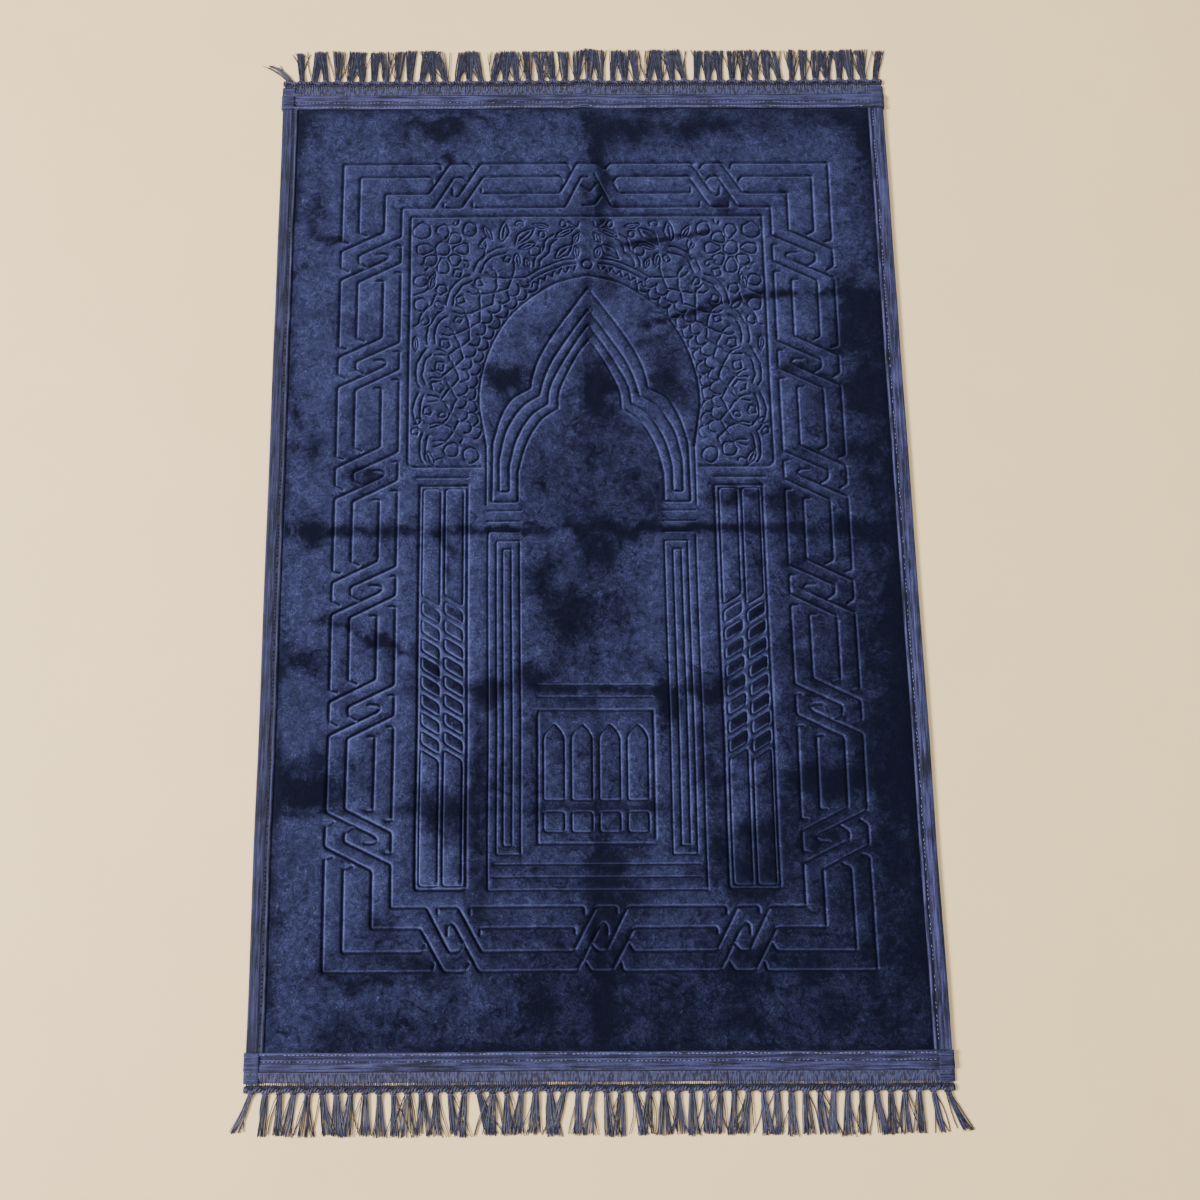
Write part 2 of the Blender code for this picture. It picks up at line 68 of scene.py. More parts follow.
class Wire:
    """A socket in a material. Sums on wires add the Math nodes that work them out."""

    def __init__(self, finish, socket=None):
        self.finish = finish
        self.socket = socket

    def add(self, kind, settings, values, out=0):
        """Adds a node. Its settings come first, then the values or wires of its sockets."""
        node = self.finish.node_tree.nodes.new(kind)
        for name, value in settings.items():
            setattr(node, name, value)
        for name, value in values.items():
            if isinstance(value, Wire):
                self.finish.node_tree.links.new(value.socket, node.inputs[name])
            else:
                node.inputs[name].default_value = value
        return Wire(self.finish, node.outputs[out])

    def maths(self, operation, first, second):
        return self.add("ShaderNodeMath", {"operation": operation}, {0: first, 1: second})

    def __add__(self, other):
        return self.maths("ADD", self, other)

    def __sub__(self, other):
        return self.maths("SUBTRACT", self, other)

    def __mul__(self, other):
        return self.maths("MULTIPLY", self, other)

    def __radd__(self, other):
        return self.maths("ADD", other, self)

    def __rsub__(self, other):
        return self.maths("SUBTRACT", other, self)

    def __rmul__(self, other):
        return self.maths("MULTIPLY", other, self)

    def __abs__(self):
        return self.maths("ABSOLUTE", self, 0.0)

    def soft_step(self, low, high, to_low=0.0, to_high=1.0):
        """Rises smoothly from to_low to to_high as this wire goes from low to high."""
        values = {"From Min": low, "From Max": high, "To Min": to_low, "To Max": to_high}
        smoothly = {"interpolation_type": "SMOOTHSTEP"}
        return self.add("ShaderNodeMapRange", smoothly, {"Value": self, **values})

    def blend(self, colour, other):
        """From one colour to the other as this wire goes from 0 to 1."""
        values = {"Factor": self, 6: (*colour, 1), 7: (*other, 1)}
        return self.add("ShaderNodeMix", {"data_type": "RGBA"}, values, out=2)

    def cloud(self, scale, detail=3.0, rough=0.55, warp=0.0, stretch=None):
        """Noise in the piece's own metres, from 0 to 1, drawn out by stretch."""
        place = self.add("ShaderNodeTexCoord", {}, {}, out="Object")
        if stretch:
            multiply = {"operation": "MULTIPLY"}
            place = self.add("ShaderNodeVectorMath", multiply, {0: place, 1: stretch})
        values = {"Scale": scale, "Detail": detail, "Roughness": rough, "Distortion": warp}
        return self.add("ShaderNodeTexNoise", {}, {"Vector": place, **values})

    def painted(self, name):
        """The value that every point of the piece was given under this name."""
        return self.add("ShaderNodeAttribute", {"attribute_name": name}, {}, out="Fac")

    def relief(self, strength, distance):
        """The normal of a surface whose height is this wire."""
        values = {"Strength": strength, "Distance": distance, "Height": self}
        return self.add("ShaderNodeBump", {}, values)

    def plug(self, name):
        """Joins this wire to one of the shader's own sockets."""
        shader = self.finish.node_tree.nodes["Principled BSDF"]
        self.finish.node_tree.links.new(self.socket, shader.inputs[name])


def new_finish(name, sockets):
    """A material with constants on its shader's sockets, and a wire to build the rest with."""
    finish = bpy.data.materials.new(name)
    finish.use_nodes = True
    for socket, value in sockets.items():
        finish.node_tree.nodes["Principled BSDF"].inputs[socket].default_value = value
    return finish, Wire(finish)


CORNERS = ((-1, -1), (1, -1), (1, 1), (-1, 1))  # of a square, against the clock
FLOOR_COLOUR = (0.93, 0.70, 0.39)
FLOOR_HALF = 4.0
FLOOR_DROP = 0.0002  # so that the rug never shares its plane

floor_finish, wire = new_finish("pale_floor", {"Roughness": 0.6})
shades = [[min(c * share, 1.0) for c in FLOOR_COLOUR] for share in (0.96, 1.04)]
wire.cloud(9.0, 4.0).blend(*shades).plug("Base Color")

floor_mesh = bpy.data.meshes.new("floor")
spread_out = [(x * FLOOR_HALF, y * FLOOR_HALF, -FLOOR_DROP) for x, y in CORNERS]
floor_mesh.from_pydata(spread_out, [], [(0, 1, 2, 3)])
floor_mesh.materials.append(floor_finish)
floor = bpy.data.objects.new("floor", floor_mesh)
bpy.context.scene.collection.objects.link(floor)


def lamp(name, place, size, power, colour):
    """A soft square lamp that faces the middle of the rug."""
    light = bpy.data.lights.new(name, "AREA")
    light.size = size
    light.energy = power
    light.color = colour
    holder = bpy.data.objects.new(name, light)
    holder.location = place
    holder.rotation_euler = (-Vector(place)).to_track_quat("-Z", "Y").to_euler()
    bpy.context.scene.collection.objects.link(holder)


lamp("lamp_left", (-5.0, 0.0, 3.8), size=2.0, power=930.0, colour=(1.0, 0.945, 0.84))
lamp("lamp_above", (0.5, 0.4, 2.8), size=2.2, power=34.0, colour=(1.0, 0.98, 0.95))
sky = bpy.data.worlds.new("studio")
sky.use_nodes = True
for socket, value in {"Color": (0.98, 0.96, 0.94, 1), "Strength": 0.42}.items():
    sky.node_tree.nodes["Background"].inputs[socket].default_value = value
bpy.context.scene.world = sky


# ---- The velvet mat ------------------------------------------------------------------------------
# Navy velvet over a thin padding, in one piece. Heated rollers press the lines of the pattern into
# it, so that the cloth swells up softly between them, and it is thinner where the tapes hold it.

MM = 0.001
WIDTH = 700.0  # over the side tapes, in millimetres, as are all sizes below
LENGTH = 1077.0  # over the folds of the end tapes
LEAN = -0.0141  # the cloth lies out of square: across for each unit along
WANDER = {"far": 0.7, "sides": 130.0, "ends": 120.0}  # how far the edges wander, and in what length
# The fold lengthways pushes the head end out a little
BULGE = {"x": 2.0, "out": 2.2, "half": 11.0, "from": 440.0, "over": 100.0}
TAPE = 0.8  # thickness of the tape
CLEAR = 0.3  # between the tape and the mat

# Inset and height: of the pile beside the tapes, and of the underside
RIM = ((0.0, 3.3), (17.4, 3.3), (18.6, 4.0), (20.4, 4.9), (23.0, 5.5), (27.0, 5.9), (33.0, 6.0))
RIM_STEP = 14.0
UNDER = ((0.0, 1.1), (14.7, 1.1), (19.7, 0.0))
HELD = {"to": 16.0, "over": 10.0}  # the tapes hold it flat up to here, and let go over this width

# Pressed lines by kind: half width, depth, and the step between their points
PRESS = {"line": (2.8, 2.2, 7.0), "fine": (2.1, 1.7, 7.0), "flower": (2.2, 1.9, 3.5)}
BANK_ROWS = (0.5, 1.0, 1.6)  # rows of points beside a line, in its half widths
FIELD = {"between": 6.8, "stray": 0.25, "inset": 19.0, "clear": 5.0}  # points between the lines
MERGE = 0.1  # points nearer to each other than this are one
UNEVEN = ((0.30, 45.0, 1.7), (0.12, 9.0, 4.2))  # the padding's: how high, how wide, seed
# The cloth rounds down towards each line: how far out, how deep, its share of a bank's painted light
PILLOW = {"reach": 5.0, "drop": 0.8, "facing": 0.40}
PATTERN_AT = (2.0, 2.7)
# Light and shade painted on a line's banks: light on the one on its right, the one on its foot side
# (below BANKS_TURN the one on its head side, which changes over the width given), and a painted
# sheen on both. Against these, the banks on the other sides are painted dark, as shade.
PAINTED_BANK_LIGHT = {"across": -0.85, "along": 0.9, "within": 30.0, "both": 0.40}
# Where the two work against each other, the one across wins if it is so many times as strong, and
# else the other one wins and counts for more. This much of the loser is left.
OPPOSED = {"across": 1.3, "along": 1.8, "loser": 0.35}
BANKS_TURN = ((-215.0, -250.0), (-195.0, -85.0), (205.0, -85.0), (220.0, -118.0))  # x, y
BANKS_STRONG = ((-220.0, 1.3), (100.0, 0.85))  # y, how strong

BORDER_HALF = (278.5, 446.7)  # the border's outer line
# Its four lines: inset at the sides, at the head end and at the foot end
RAILS = ((0.0, 0.0, 0.0), (19.5, 16.6, 19.1), (48.5, 37.7, 42.1), (68.0, 55.3, 62.7))

# A clasp, where the four lines of the border change places: (along, inwards) from where it starts,
# each line from its loose end to the rail that it becomes
CLASP_START = (
    ((14, 8), (12, 0)),
    ((5, 28), (1, 19.5)),
    ((49, 8), (44, 0), (24, 0), (0, 48.5)),
    ((43, 28), (38, 20), (29, 19.5), (6, 68)),
)
CLASP_FINISH = (
    ((27, 40), (27, 50), (31, 54), (35, 50), (59, 0)),
    ((17, 62), (17, 68), (38, 68), (62, 19.5)),
    ((60, 41), (60, 48.5)),
    ((50, 61), (50, 68)),
)
SIDE_CLASPS = (361.7, 233.5, 105.2, -23.1, -151.3)
# Clasps in order round the border, against the clock: edge, where it starts, which way it runs
CLASPS = (
    ("head", -180.0, 1),
    *(("left", y, -1) for y in SIDE_CLASPS),
    ("left", -347.1, 1),
    ("foot", -180.0, 1),
    ("foot", 36.0, -1),
    ("foot", 180.0, -1),
    ("right", -347.1, 1),
    *(("right", y, -1) for y in reversed(SIDE_CLASPS)),
    ("head", 180.0, -1),
)
WALK = {"head": -1, "left": -1, "foot": 1, "right": 1}  # sign of the walk along each edge
# The peaked clasp in the middle of the head end: (across, inwards), loose end first
PEAK_LEFT = (
    ((-18, 8), (-22, 0)),
    ((-26, 28), (-30, 19.5)),
    ((20, 9), (12, 0), (-10, 0), (-30, 48.5)),
    ((2, 20), (-5, 19.5), (-24, 68)),
)
PEAK_RIGHT = (
    ((23, 8), (28, 0)),
    ((31, 29), (36, 19.5)),
    ((32, 32), (38, 48.5)),
    ((10, 16), (30, 68)),
)
PEAK_LOOSE = (((-5, 36), (4, 46), (12, 32)), ((-4, 65), (10, 64), (17, 52)))

FRAME = ((120, 81.7), (195, 81.7), (200, 86.7), (200, 380.3), (0, 380.3))  # right half
OUTER_ARCH = (
    (0, 307.8), (40, 296), (80, 266.7), (104, 232.5), (118, 193), (122, 159), (119, 134), (114, 105),
)
ARCH_SIDE = 118  # nearer to the middle than this, only what is above the arch is outside it
ARCH_STEPS = 6  # points of the curves between each two that are given
# Lines of the pointed arch, right half: from the peak to the kink, then on to the foot of the curve
ARCH_UPPER = (
    ((0, 292), (20, 264), (40, 235), (55, 208), (62, 188), (65, 172)),
    ((0, 266), (20, 237), (40, 206), (50, 183), (55, 164)),
    ((0, 248), (20, 218), (37, 188), (44, 171), (46, 154)),
    ((0, 230), (15, 208), (29, 180), (34, 165), (35, 149)),
)
ARCH_LOWER = (
    ((65, 172), (85, 160), (98, 139), (107, 108)),
    ((55, 164), (75, 150), (92, 123), (100, 90)),
    ((46, 154), (65, 140), (81, 113), (89, 82)),
    ((35, 149), (55, 134), (71, 106), (79.5, 75)),
)
ARCH_FEET = (
    ((107, 108), (108, 41.6), (79.5, 41.6), (79.5, 75)),
    ((100, 90), (100, 53), (89, 53), (89, 82)),
)
PILASTER = (  # the capital's bars and the shaft's nested lines, right side
    ((76, 31.8), (113, 31.8)),
    ((77, 20.0), (113, 20.0)),
    ((78, 8.3), (111, 8.3), (112, 4.0), (112, -367.7)),
    ((114, 105), (114, 38.0)),
)
SHAFTS = ((78.0, 103.0, -2.0, -332.4), (87.0, 96.0, -11.3, -323.6))  # x from, x to, top, foot
BASE_LINES = ((112, -367.7), (106, -354.9), (106, -342.2))  # half length, y
COLUMN_CAP = ((134, 190, 69.9), (134, 187, 60.2))  # x from, x to, y
COLUMN = {
    "inner": 134.0,
    "outer": 186.0,
    "top": 60.2,
    "foot": -366.7,
    "clear": (3.0, 3.5),  # of the panels, from its top and its foot
    "halves": ((138.6, 158.2), (163.2, 182.4)),
}
# The twisted middle of a column: its cells, how much painted shade darkens them in the left and the
# right column, and how much painted highlight lightens the ribs between them
TWIST = {
    "from": -64.3,
    "turns": 8,
    "pitch": 19.6,
    "rise": 12.0,
    "gap": 6.2,
    "round": 4.5,
    "dark": (0.45, 0.74),
    "rib": 0.24,
    "differ": (0.75, 0.9, 0.1, 1.4),  # each cell's own share: mean, change, least and most
    "edge": (0.5, 2.5),  # where the dark starts inside a cell, and how softly
    "beside": 3.0,  # how far beside the cells the ribs go on
}
DOOR_LINES = ((60, -158.2), (60, -170.9))
DOOR = (60.5, -184.6, -321.7)  # half width, top, foot
WINDOWS_AT = (-43.5, -14.5, 14.5, 43.5)
WINDOW = {"half": 10.8, "point": -198.3, "haunch": -205.0, "shoulder": -213.0, "foot": -277.6}
PANES = (-289.3, -309.9)

ROUND = {"line": 3.0, "shaft": 2.0, "column": 4.0, "pane": 4.0}  # radius of a corner
ROUND_MOST = 0.45  # share of a side that a rounded corner may take up
SLIGHT_BEND = 0.94  # a bend with a larger cosine is no corner
MITRE_LEAST = 0.7  # keeps the banks' mitres short at a sharp corner

# The spandrel's flowers, right side
SPANDREL = (5, 196, 86, 376)  # x from, x to, y from, y to
ROSETTE = {
    "at": (163.0, 340.0),
    "eye": 8.5,
    "petals": 8,
    "bare": 1,  # where a petal is missing
    "from": 11.0,
    "to": 30.0,
    "shorter": 4.0,  # every second one
    "wide": 13.0,
}
BUDS = (  # x, y, radius
    (187, 363, 10), (133, 364, 8), (188, 301, 7.5), (187, 272, 8), (59, 337, 6.5), (131, 95, 9),
    (152, 101, 8), (0, 321, 5.5),
)
# Along the outer arch, from its peak, and outwards from it
GARLAND = {"off": 36.0, "from": 92.0, "pitch": 44.0, "count": 6, "radii": (37.0, 29.5), "half": 0.66}
NET = {"near": 24.0, "far": 56.0, "from": 62.0, "pitch": 21.0, "count": 11, "slant": 24.0, "bow": 7.0}
NET_SPAN = (60, 260)  # its lines stop at these places along the arch
SCALES = {"off": (10.0, 20.5), "from": 66.0, "pitch": 15.0, "count": 14, "radius": 7.4, "half": 1.7}
ROPE = {"off": (17.0, 23.0), "from": 9.0, "to": 62.0}
TEETH = {"off": (8.0, 14.5), "from": 10.0, "pitch": 4.0, "count": 15}
STEM = ((57, 318), (55, 327), (47, 336), (44, 346), (36, 354))
STEM_WIDE = 6.5
LEAVES = (  # x, y, angle in degrees, length, width
    (27, 336, 140, 26, 11),
    (12, 336, 75, 15, 7),
    (71, 355, 138, 32, 12),
    (67, 343, 160, 20, 7),
    (94, 361, 100, 24, 12),
    (25, 360, 152, 26, 8),
    (12, 353, 120, 16, 6),
    (79, 326, 80, 16, 7),
    (68, 322, 70, 14, 6),
    (112, 360, 60, 18, 8),
    (52, 368, 10, 20, 6),
    (176, 300, 100, 18, 8),
    (193, 226, 92, 18, 7),
    (176, 92, 60, 18, 9),
)
CURLS = (  # x, y, radius, angle where it starts in degrees, hand
    (78, 370, 4, 200, -1),
    (120, 344, 5, 100, 1),
    (138, 320, 5, 30, 1),
    (184, 252, 5, 120, 1),
    (190, 136, 4, 300, -1),
    (165, 86, 4, 40, 1),
    (184, 320, 4, 260, -1),
    (150, 372, 4, 60, 1),
)
CURL = {"points": 11, "turn": 0.5, "wide": 1.5, "closer": 0.11}  # steps of one, as shares of its radius
TENDRILS = (
    ((199, 284), (184, 288), (175, 298), (171, 311), (178, 319), (187, 322)),
    ((199, 244), (190, 250), (186, 262), (176, 272), (171, 284)),
    ((119, 326), (115, 337), (120, 348), (114, 354)),
    ((8, 372), (12, 366), (20, 374)),
)
# Lobed leaves in the gaps between them: tries, x and y of a try, the room one needs and keeps clear,
# and the largest radius. Then how many lobes one may have, and how far out these go
LITTLE = {"tries": 900, "x": (8, 194), "y": (88, 374), "room": 6.6, "clear": 2.6, "most": 8.0}
LOBES = {"of": (2, 4, 5, 5), "middle": 0.9, "swing": 0.14}
WOBBLE = (1.9, 8.0)  # no flower is drawn quite true: how far off, and in what length

# Where the cloth was folded: a line of points, half width, depth, the ridge on its left and right
# (or above and below), and how dark the rubbed nap looks along it
CREASES = (
    (((-335, 13), (-200, 12), (-60, 14), (60, 15), (180, 14), (335, 11)), 4.4, 1.1, 0.25, 0.35, 1.0),
    (((2, 525), (3, 300), (1, 60), (3, -200), (2, -525)), 4.5, 0.7, 0.1, 0.9, 0.25),
    (((62, 250), (92, 257), (125, 266), (160, 279), (200, 286), (335, 289)), 3.6, 0.9, 0.3, 0.2, 1.3),
    (((44, 347), (70, 351), (100, 356), (144, 363)), 3.0, 0.6, 0.3, 0.2, 1.0),
    (((-132, -156), (0, -160), (140, -164)), 4.0, 0.3, 0.1, 0.1, 0.35),
    (((-335, -289), (-150, -283), (75, -283)), 4.0, 0.3, 0.1, 0.1, 0.45),
    (((-300, -84), (-262, -90), (-225, -112), (-190, -118), (-168, -142)), 3.0, 0.35, 0.2, 0.2, 0.8),
    (((200, -250), (262, -256), (335, -250)), 4.0, 0.3, 0.1, 0.1, 0.7),
)
CREASE_RIDGES = (2.0, 1.2)  # how far they lie beside it, and how wide, in its half widths
CREASE_STRAY = 0.22  # how far a crease strays, as a share of the rubbed patches' stray
CREASE_NAP = 0.9  # how wide its rubbed nap is, in its half widths
# The nap inside the niche lies the other way: how much darker it looks, and the niche's half width
# and y from its foot up
NICHE_NAP = 0.26
NICHE = (
    (0, 19), (80, 20), (80, 75), (71, 106), (55, 134), (35, 149), (29, 180), (15, 208), (0, 230),
)
EDGE_NAP = (0.6, 18.6, 6.0)  # beside the tapes: how much darker it looks, at which inset, how wide
# Worn places are patchy: mean, change, size of a patch, least
PATCHY_CREASE = (0.85, 0.6, 38.0, 0.1)
PATCHY_EDGE = (0.65, 0.9, 45.0, 0.0)
# Where the nap was brushed the other way and looks dark: across, along, half width, half length, how
# dark. The first rows are broad, and a row that ends in a negative share looks lighter.
RUBBED = (
    (-10, -60, 66, 110, 0.30),
    (-20, -260, 84, 120, 0.32),
    (60, -470, 280, 80, 0.40),
    (340, -230, 80, 340, 0.66),
    (235, -250, 95, 260, 0.36),
    (322, 170, 60, 140, 0.40),
    (166, -330, 34, 60, 0.40),
    (190, 500, 140, 28, 0.34),
    (-170, 498, 170, 28, 0.20),
    (-60, 320, 60, 50, 0.08),
    (0, 285, 50, 30, 0.14),
    (-315, 10, 30, 20, 0.2),
    (324, 420, 24, 70, 0.35),
    (150, -5, 60, 30, 0.18),
    (-105, -280, 30, 90, 0.22),
    (108, -260, 30, 70, 0.22),
    (-140, -75, 60, 55, -0.14),
    (-180, -215, 30, 30, -0.12),
    (-245, -350, 40, 50, -0.10),
    (-230, 140, 60, 60, -0.06),
    (100, -492, 130, 36, 0.25),
    (0, -410, 270, 34, 0.12),
    (-180, -425, 40, 28, -0.08),
    (-330, 500, 20, 14, 0.6),
    (-332, 475, 7, 34, 0.5),
    (-308, 385, 9, 28, 0.5),
    (-292, 355, 24, 6, 0.6),
    (-192, 495, 14, 6, 0.5),
    (-162, 497, 15, 8, 0.85),
    (-154, 460, 6, 7, 0.95),
    (-105, 513, 45, 5, 0.55),
    (16, 450, 11, 75, 0.8),
    (46, 493, 34, 22, 0.75),
    (20, 395, 10, 50, 0.55),
    (18, 320, 8, 40, 0.5),
    (150, 500, 50, 15, 0.55),
    (300, 510, 44, 12, 0.65),
    (322, 480, 12, 30, 0.6),
    (164, 395, 12, 14, 0.5),
    (312, 272, 32, 20, 1.0),
    (300, 228, 36, 14, 0.7),
    (312, 180, 28, 20, 0.85),
    (300, 150, 40, 8, 0.6),
    (295, 106, 34, 12, 0.85),
    (232, 198, 20, 9, 0.5),
    (165, 50, 32, 7, 0.8),
    (215, 42, 24, 9, 0.6),
    (-90, 184, 26, 16, 0.95),
    (70, 234, 18, 9, 0.5),
    (90, 190, 18, 44, 0.7),
    (14, 170, 12, 36, 1.0),
    (-38, 242, 32, 4, 0.5),
    (-300, 12, 34, 8, 0.8),
    (-205, 12, 24, 8, 0.7),
    (40, 14, 60, 7, 0.6),
    (290, 10, 46, 9, 0.75),
    (-155, -12, 6, 36, 0.75),
    (14, -20, 13, 30, 0.75),
    (-24, -85, 24, 24, 0.55),
    (-45, -45, 10, 26, 0.5),
    (-250, 76, 26, 7, 0.65),
    (-334, 165, 6, 14, 0.7),
    (-320, 140, 6, 9, 0.7),
    (-304, 108, 8, 14, 0.6),
    (-316, -130, 36, 14, 0.6),
    (-222, -112, 26, 5, 0.8),
    (-166, -132, 8, 20, 0.7),
    (-118, -160, 15, 12, 0.95),
    (-121, -260, 9, 105, 0.65),
    (-60, -148, 20, 10, 0.85),
    (75, -176, 10, 30, 0.95),
    (0, -166, 66, 5, 0.5),
    (122, -162, 24, 11, 0.95),
    (121, -250, 9, 90, 0.5),
    (0, -245, 62, 60, -0.14),
    (315, 420, 40, 60, 0.10),
    (315, -490, 40, 40, 0.15),
    (235, -60, 50, 160, 0.08),
    (-302, -264, 50, 20, 0.85),
    (-290, -235, 36, 7, 0.4),
    (-162, -284, 28, 22, 0.75),
    (255, -256, 74, 10, 0.7),
    (326, -92, 18, 46, 0.8),
    (196, -300, 10, 20, 0.6),
    (158, -306, 30, 8, 0.6),
    (160, -342, 26, 30, 0.5),
    (25, -350, 28, 40, 0.5),
    (8, -450, 14, 100, 0.75),
    (-56, -482, 32, 40, 0.5),
    (-240, -452, 60, 5, 0.6),
    (-215, -500, 70, 20, 0.4),
    (-222, -400, 12, 24, 0.5),
    (-185, -437, 46, 8, 0.6),
    (-318, -420, 16, 60, 0.18),
    (-262, -330, 8, 24, 0.3),
)

NAP_BASE = 0.80
STRAY = ((16.0, 26.0), (7.0, 9.0))  # how far the rubbed patches stray from round, in what length


def stir(x, y, seed):
    """Smooth noise, from about -1 to 1."""
    return noise.noise(Vector((x, y, seed)))


def either_way(draw, most):
    return draw.uniform(-most, most)


def mottle(spots, size, seed):
    """Smooth noise at every spot, in patches of about this size."""
    return np.array([stir(x / size, y / size, seed) for x, y in spots])


def lie(x, y):
    """Where a point of the square-cut rug lies, in metres: it leans, and its edges wander."""
    wander_x = WANDER["far"] * stir(y / WANDER["sides"], 3.1, 0.0)
    wander_y = WANDER["far"] * stir(x / WANDER["ends"], 7.7, 0.0)
    b = BULGE
    near_head = min(max(0.0, y - b["from"]) / b["over"], 1.0)
    bulge = b["out"] * near_head * math.exp(-(((x - b["x"]) / b["half"]) ** 2))
    return (x + LEAN * y + wander_x) * MM, (y + wander_y + bulge) * MM


def smooth(points, steps):
    """A smooth curve through the points, with this many steps between each two."""
    p = np.array(points, float)
    p = np.vstack([2 * p[0] - p[1], p, 2 * p[-1] - p[-2]])
    found = []
    for a, b, c, d in zip(p[:-3], p[1:-2], p[2:-1], p[3:]):
        for u in np.arange(steps) / steps:
            found.append(
                b + 0.5 * u * (c - a + u * (2 * a - 5 * b + 4 * c - d + u * (3 * (b - c) + d - a)))
            )
    return [tuple(q) for q in found] + [tuple(p[-2])]


def flip(points):
    return [(-x, y) for x, y in points]


def bow(x, y, radius, first, last, steps):
    """Part of a circle, between two angles."""
    turns = np.linspace(first, last, steps)
    return [(x + radius * math.cos(a), y + radius * math.sin(a)) for a in turns]


def ring(x, y, radius, steps):
    """A circle, as a closed line."""
    return bow(x, y, radius, 0, 2 * math.pi, steps + 1)[:-1]


def turned(points, x, y, angle):
    """Points that are given as (along, across), turned by an angle and moved to (x, y)."""
    c, s = math.cos(angle), math.sin(angle)
    return [(x + along * c - across * s, y + along * s + across * c) for along, across in points]


def petal(x, y, angle, near, far, wide, steps):
    """A teardrop that points at (x, y), as a closed line."""
    found = []
    for a in np.arange(steps) * 2 * math.pi / steps:
        along = (near + far) / 2 + (far - near) / 2 * math.cos(a)
        found.append((along, wide / 2 * math.sin(a) * (1 + 0.4 * math.cos(a))))
    return turned(found, x, y, angle)


def leaf(x, y, angle, long, wide):
    """A pointed leaf round (x, y), as a closed line, and its midrib."""
    places = (-1, -0.7, -0.3, 0.1, 0.5, 0.8, 1)
    outline = [(u * long / 2, wide / 2 * (1 - abs(u) ** 1.8)) for u in places]
    outline += [(u, -v) for u, v in outline[-2:0:-1]]
    rib = ((-long * 0.34, 0), (long * 0.2, 0))
    return [turned(line, x, y, math.radians(angle)) for line in (outline, rib)]


def curl(x, y, radius, angle, hand):
    """A tendril's end: an open line that winds inwards."""
    found = []
    for k in range(CURL["points"]):
        turn = math.radians(angle) + hand * k * CURL["turn"]
        r = radius * (CURL["wide"] - CURL["closer"] * k)
        found.append((x + r * math.cos(turn), y + r * math.sin(turn)))
    return found


def to_length_one(arrows):
    return arrows / np.linalg.norm(arrows, axis=1)[:, None]


def to_left(arrows):
    """The same arrows, turned a quarter to the left."""
    return np.stack([-arrows[:, 1], arrows[:, 0]], 1)


def beside(points, off):
    """Where a line runs when it is moved off to its left."""
    p = np.array(points, float)
    way = to_length_one(np.diff(p, axis=0))
    return p + off * to_left(to_length_one(np.vstack([way[:1], way[:-1] + way[1:], way[-1:]])))


def spread(points, first, pitch, count):
    """Points at equal steps along a line, each with the line's direction there."""
    p = np.array(points, float)
    run = np.concatenate([[0], np.cumsum(np.linalg.norm(np.diff(p, axis=0), axis=1))])
    at = first + pitch * np.arange(count)
    at = at[at < run[-1] - 1]
    here = np.stack([np.interp(at, run, p[:, k]) for k in (0, 1)], 1)
    ahead = np.stack([np.interp(at + 1, run, p[:, k]) for k in (0, 1)], 1)
    return list(zip(here, np.arctan2(*(ahead - here).T[::-1])))


def soften(points, closed, radius):
    """Rounds a line's corners, but not its slight bends."""
    p = [np.array(q, float) for q in points]
    found = [] if closed else [p[0]]
    for k in range(len(p)) if closed else range(1, len(p) - 1):
        before, here, after = p[k - 1], p[k], p[(k + 1) % len(p)]
        to_before, to_after = before - here, after - here
        long_before, long_after = np.linalg.norm(to_before), np.linalg.norm(to_after)
        straight = -(to_before @ to_after) / (long_before * long_after)
        if straight > SLIGHT_BEND:
            found.append(here)
            continue
        start = here + to_before * min(radius / long_before, ROUND_MOST)
        finish = here + to_after * min(radius / long_after, ROUND_MOST)
        for u in (0.0, 0.25, 0.5, 0.75, 1.0):
            found.append((1 - u) ** 2 * start + 2 * u * (1 - u) * here + u * u * finish)
    return found if closed else found + [p[-1]]


def spaced(points, closed, step):
    """Adds points along a line so that none is further than a step from the next."""
    p = [np.array(q, float) for q in points]
    found = []
    for a, b in zip(p, p[1:] + p[:1] if closed else p[1:]):
        parts = max(1, math.ceil(np.linalg.norm(b - a) / step))
        found += [a + (b - a) * k / parts for k in range(parts)]
    return np.array(found if closed else found + [p[-1]])


def border_point(edge, along, inwards):
    """A point of the border from its place along an edge and its inset there."""
    half_x, half_y = BORDER_HALF
    at_side, at_head, at_foot = np.array(RAILS).T
    return {
        "head": (along, half_y - float(np.interp(inwards, at_side, at_head))),
        "foot": (along, float(np.interp(inwards, at_side, at_foot)) - half_y),
        "left": (inwards - half_x, along),
        "right": (half_x - inwards, along),
    }[edge]


def on_border(edge, lines, start=0, way=1):
    """Lines of a clasp, placed on the border."""
    return [
        [border_point(edge, start + way * along, inwards) for along, inwards in line]
        for line in lines
    ]


def border_ports():
    """The two ends of every clasp, in order round the border: edge, and a line for each rail."""
    ports = [("head", on_border("head", PEAK_LEFT))]
    for edge, start, way in CLASPS:
        ends = [CLASP_START, CLASP_FINISH]
        if way != WALK[edge]:
            ends.reverse()
        ports += [(edge, on_border(edge, lines, start, way)) for lines in ends]
    return ports + [("head", on_border("head", PEAK_RIGHT))]


def border_lines():
    """Each strand of the border runs from one clasp to the next, square round a corner."""
    ports = border_ports()
    lines = []
    for (edge_a, from_a), (edge_b, to_b) in zip(ports[::2], ports[1::2]):
        for (inset, _, _), a, b in zip(RAILS, from_a, to_b):
            turn = []
            if edge_a != edge_b:
                side, end = sorted((edge_a, edge_b), key=("left", "right", "head", "foot").index)
                turn = [(border_point(side, 0, inset)[0], border_point(end, 0, inset)[1])]
            lines.append(a + turn + b[::-1])
    return lines + on_border("head", PEAK_LOOSE)


outer_arch = smooth(OUTER_ARCH, ARCH_STEPS)


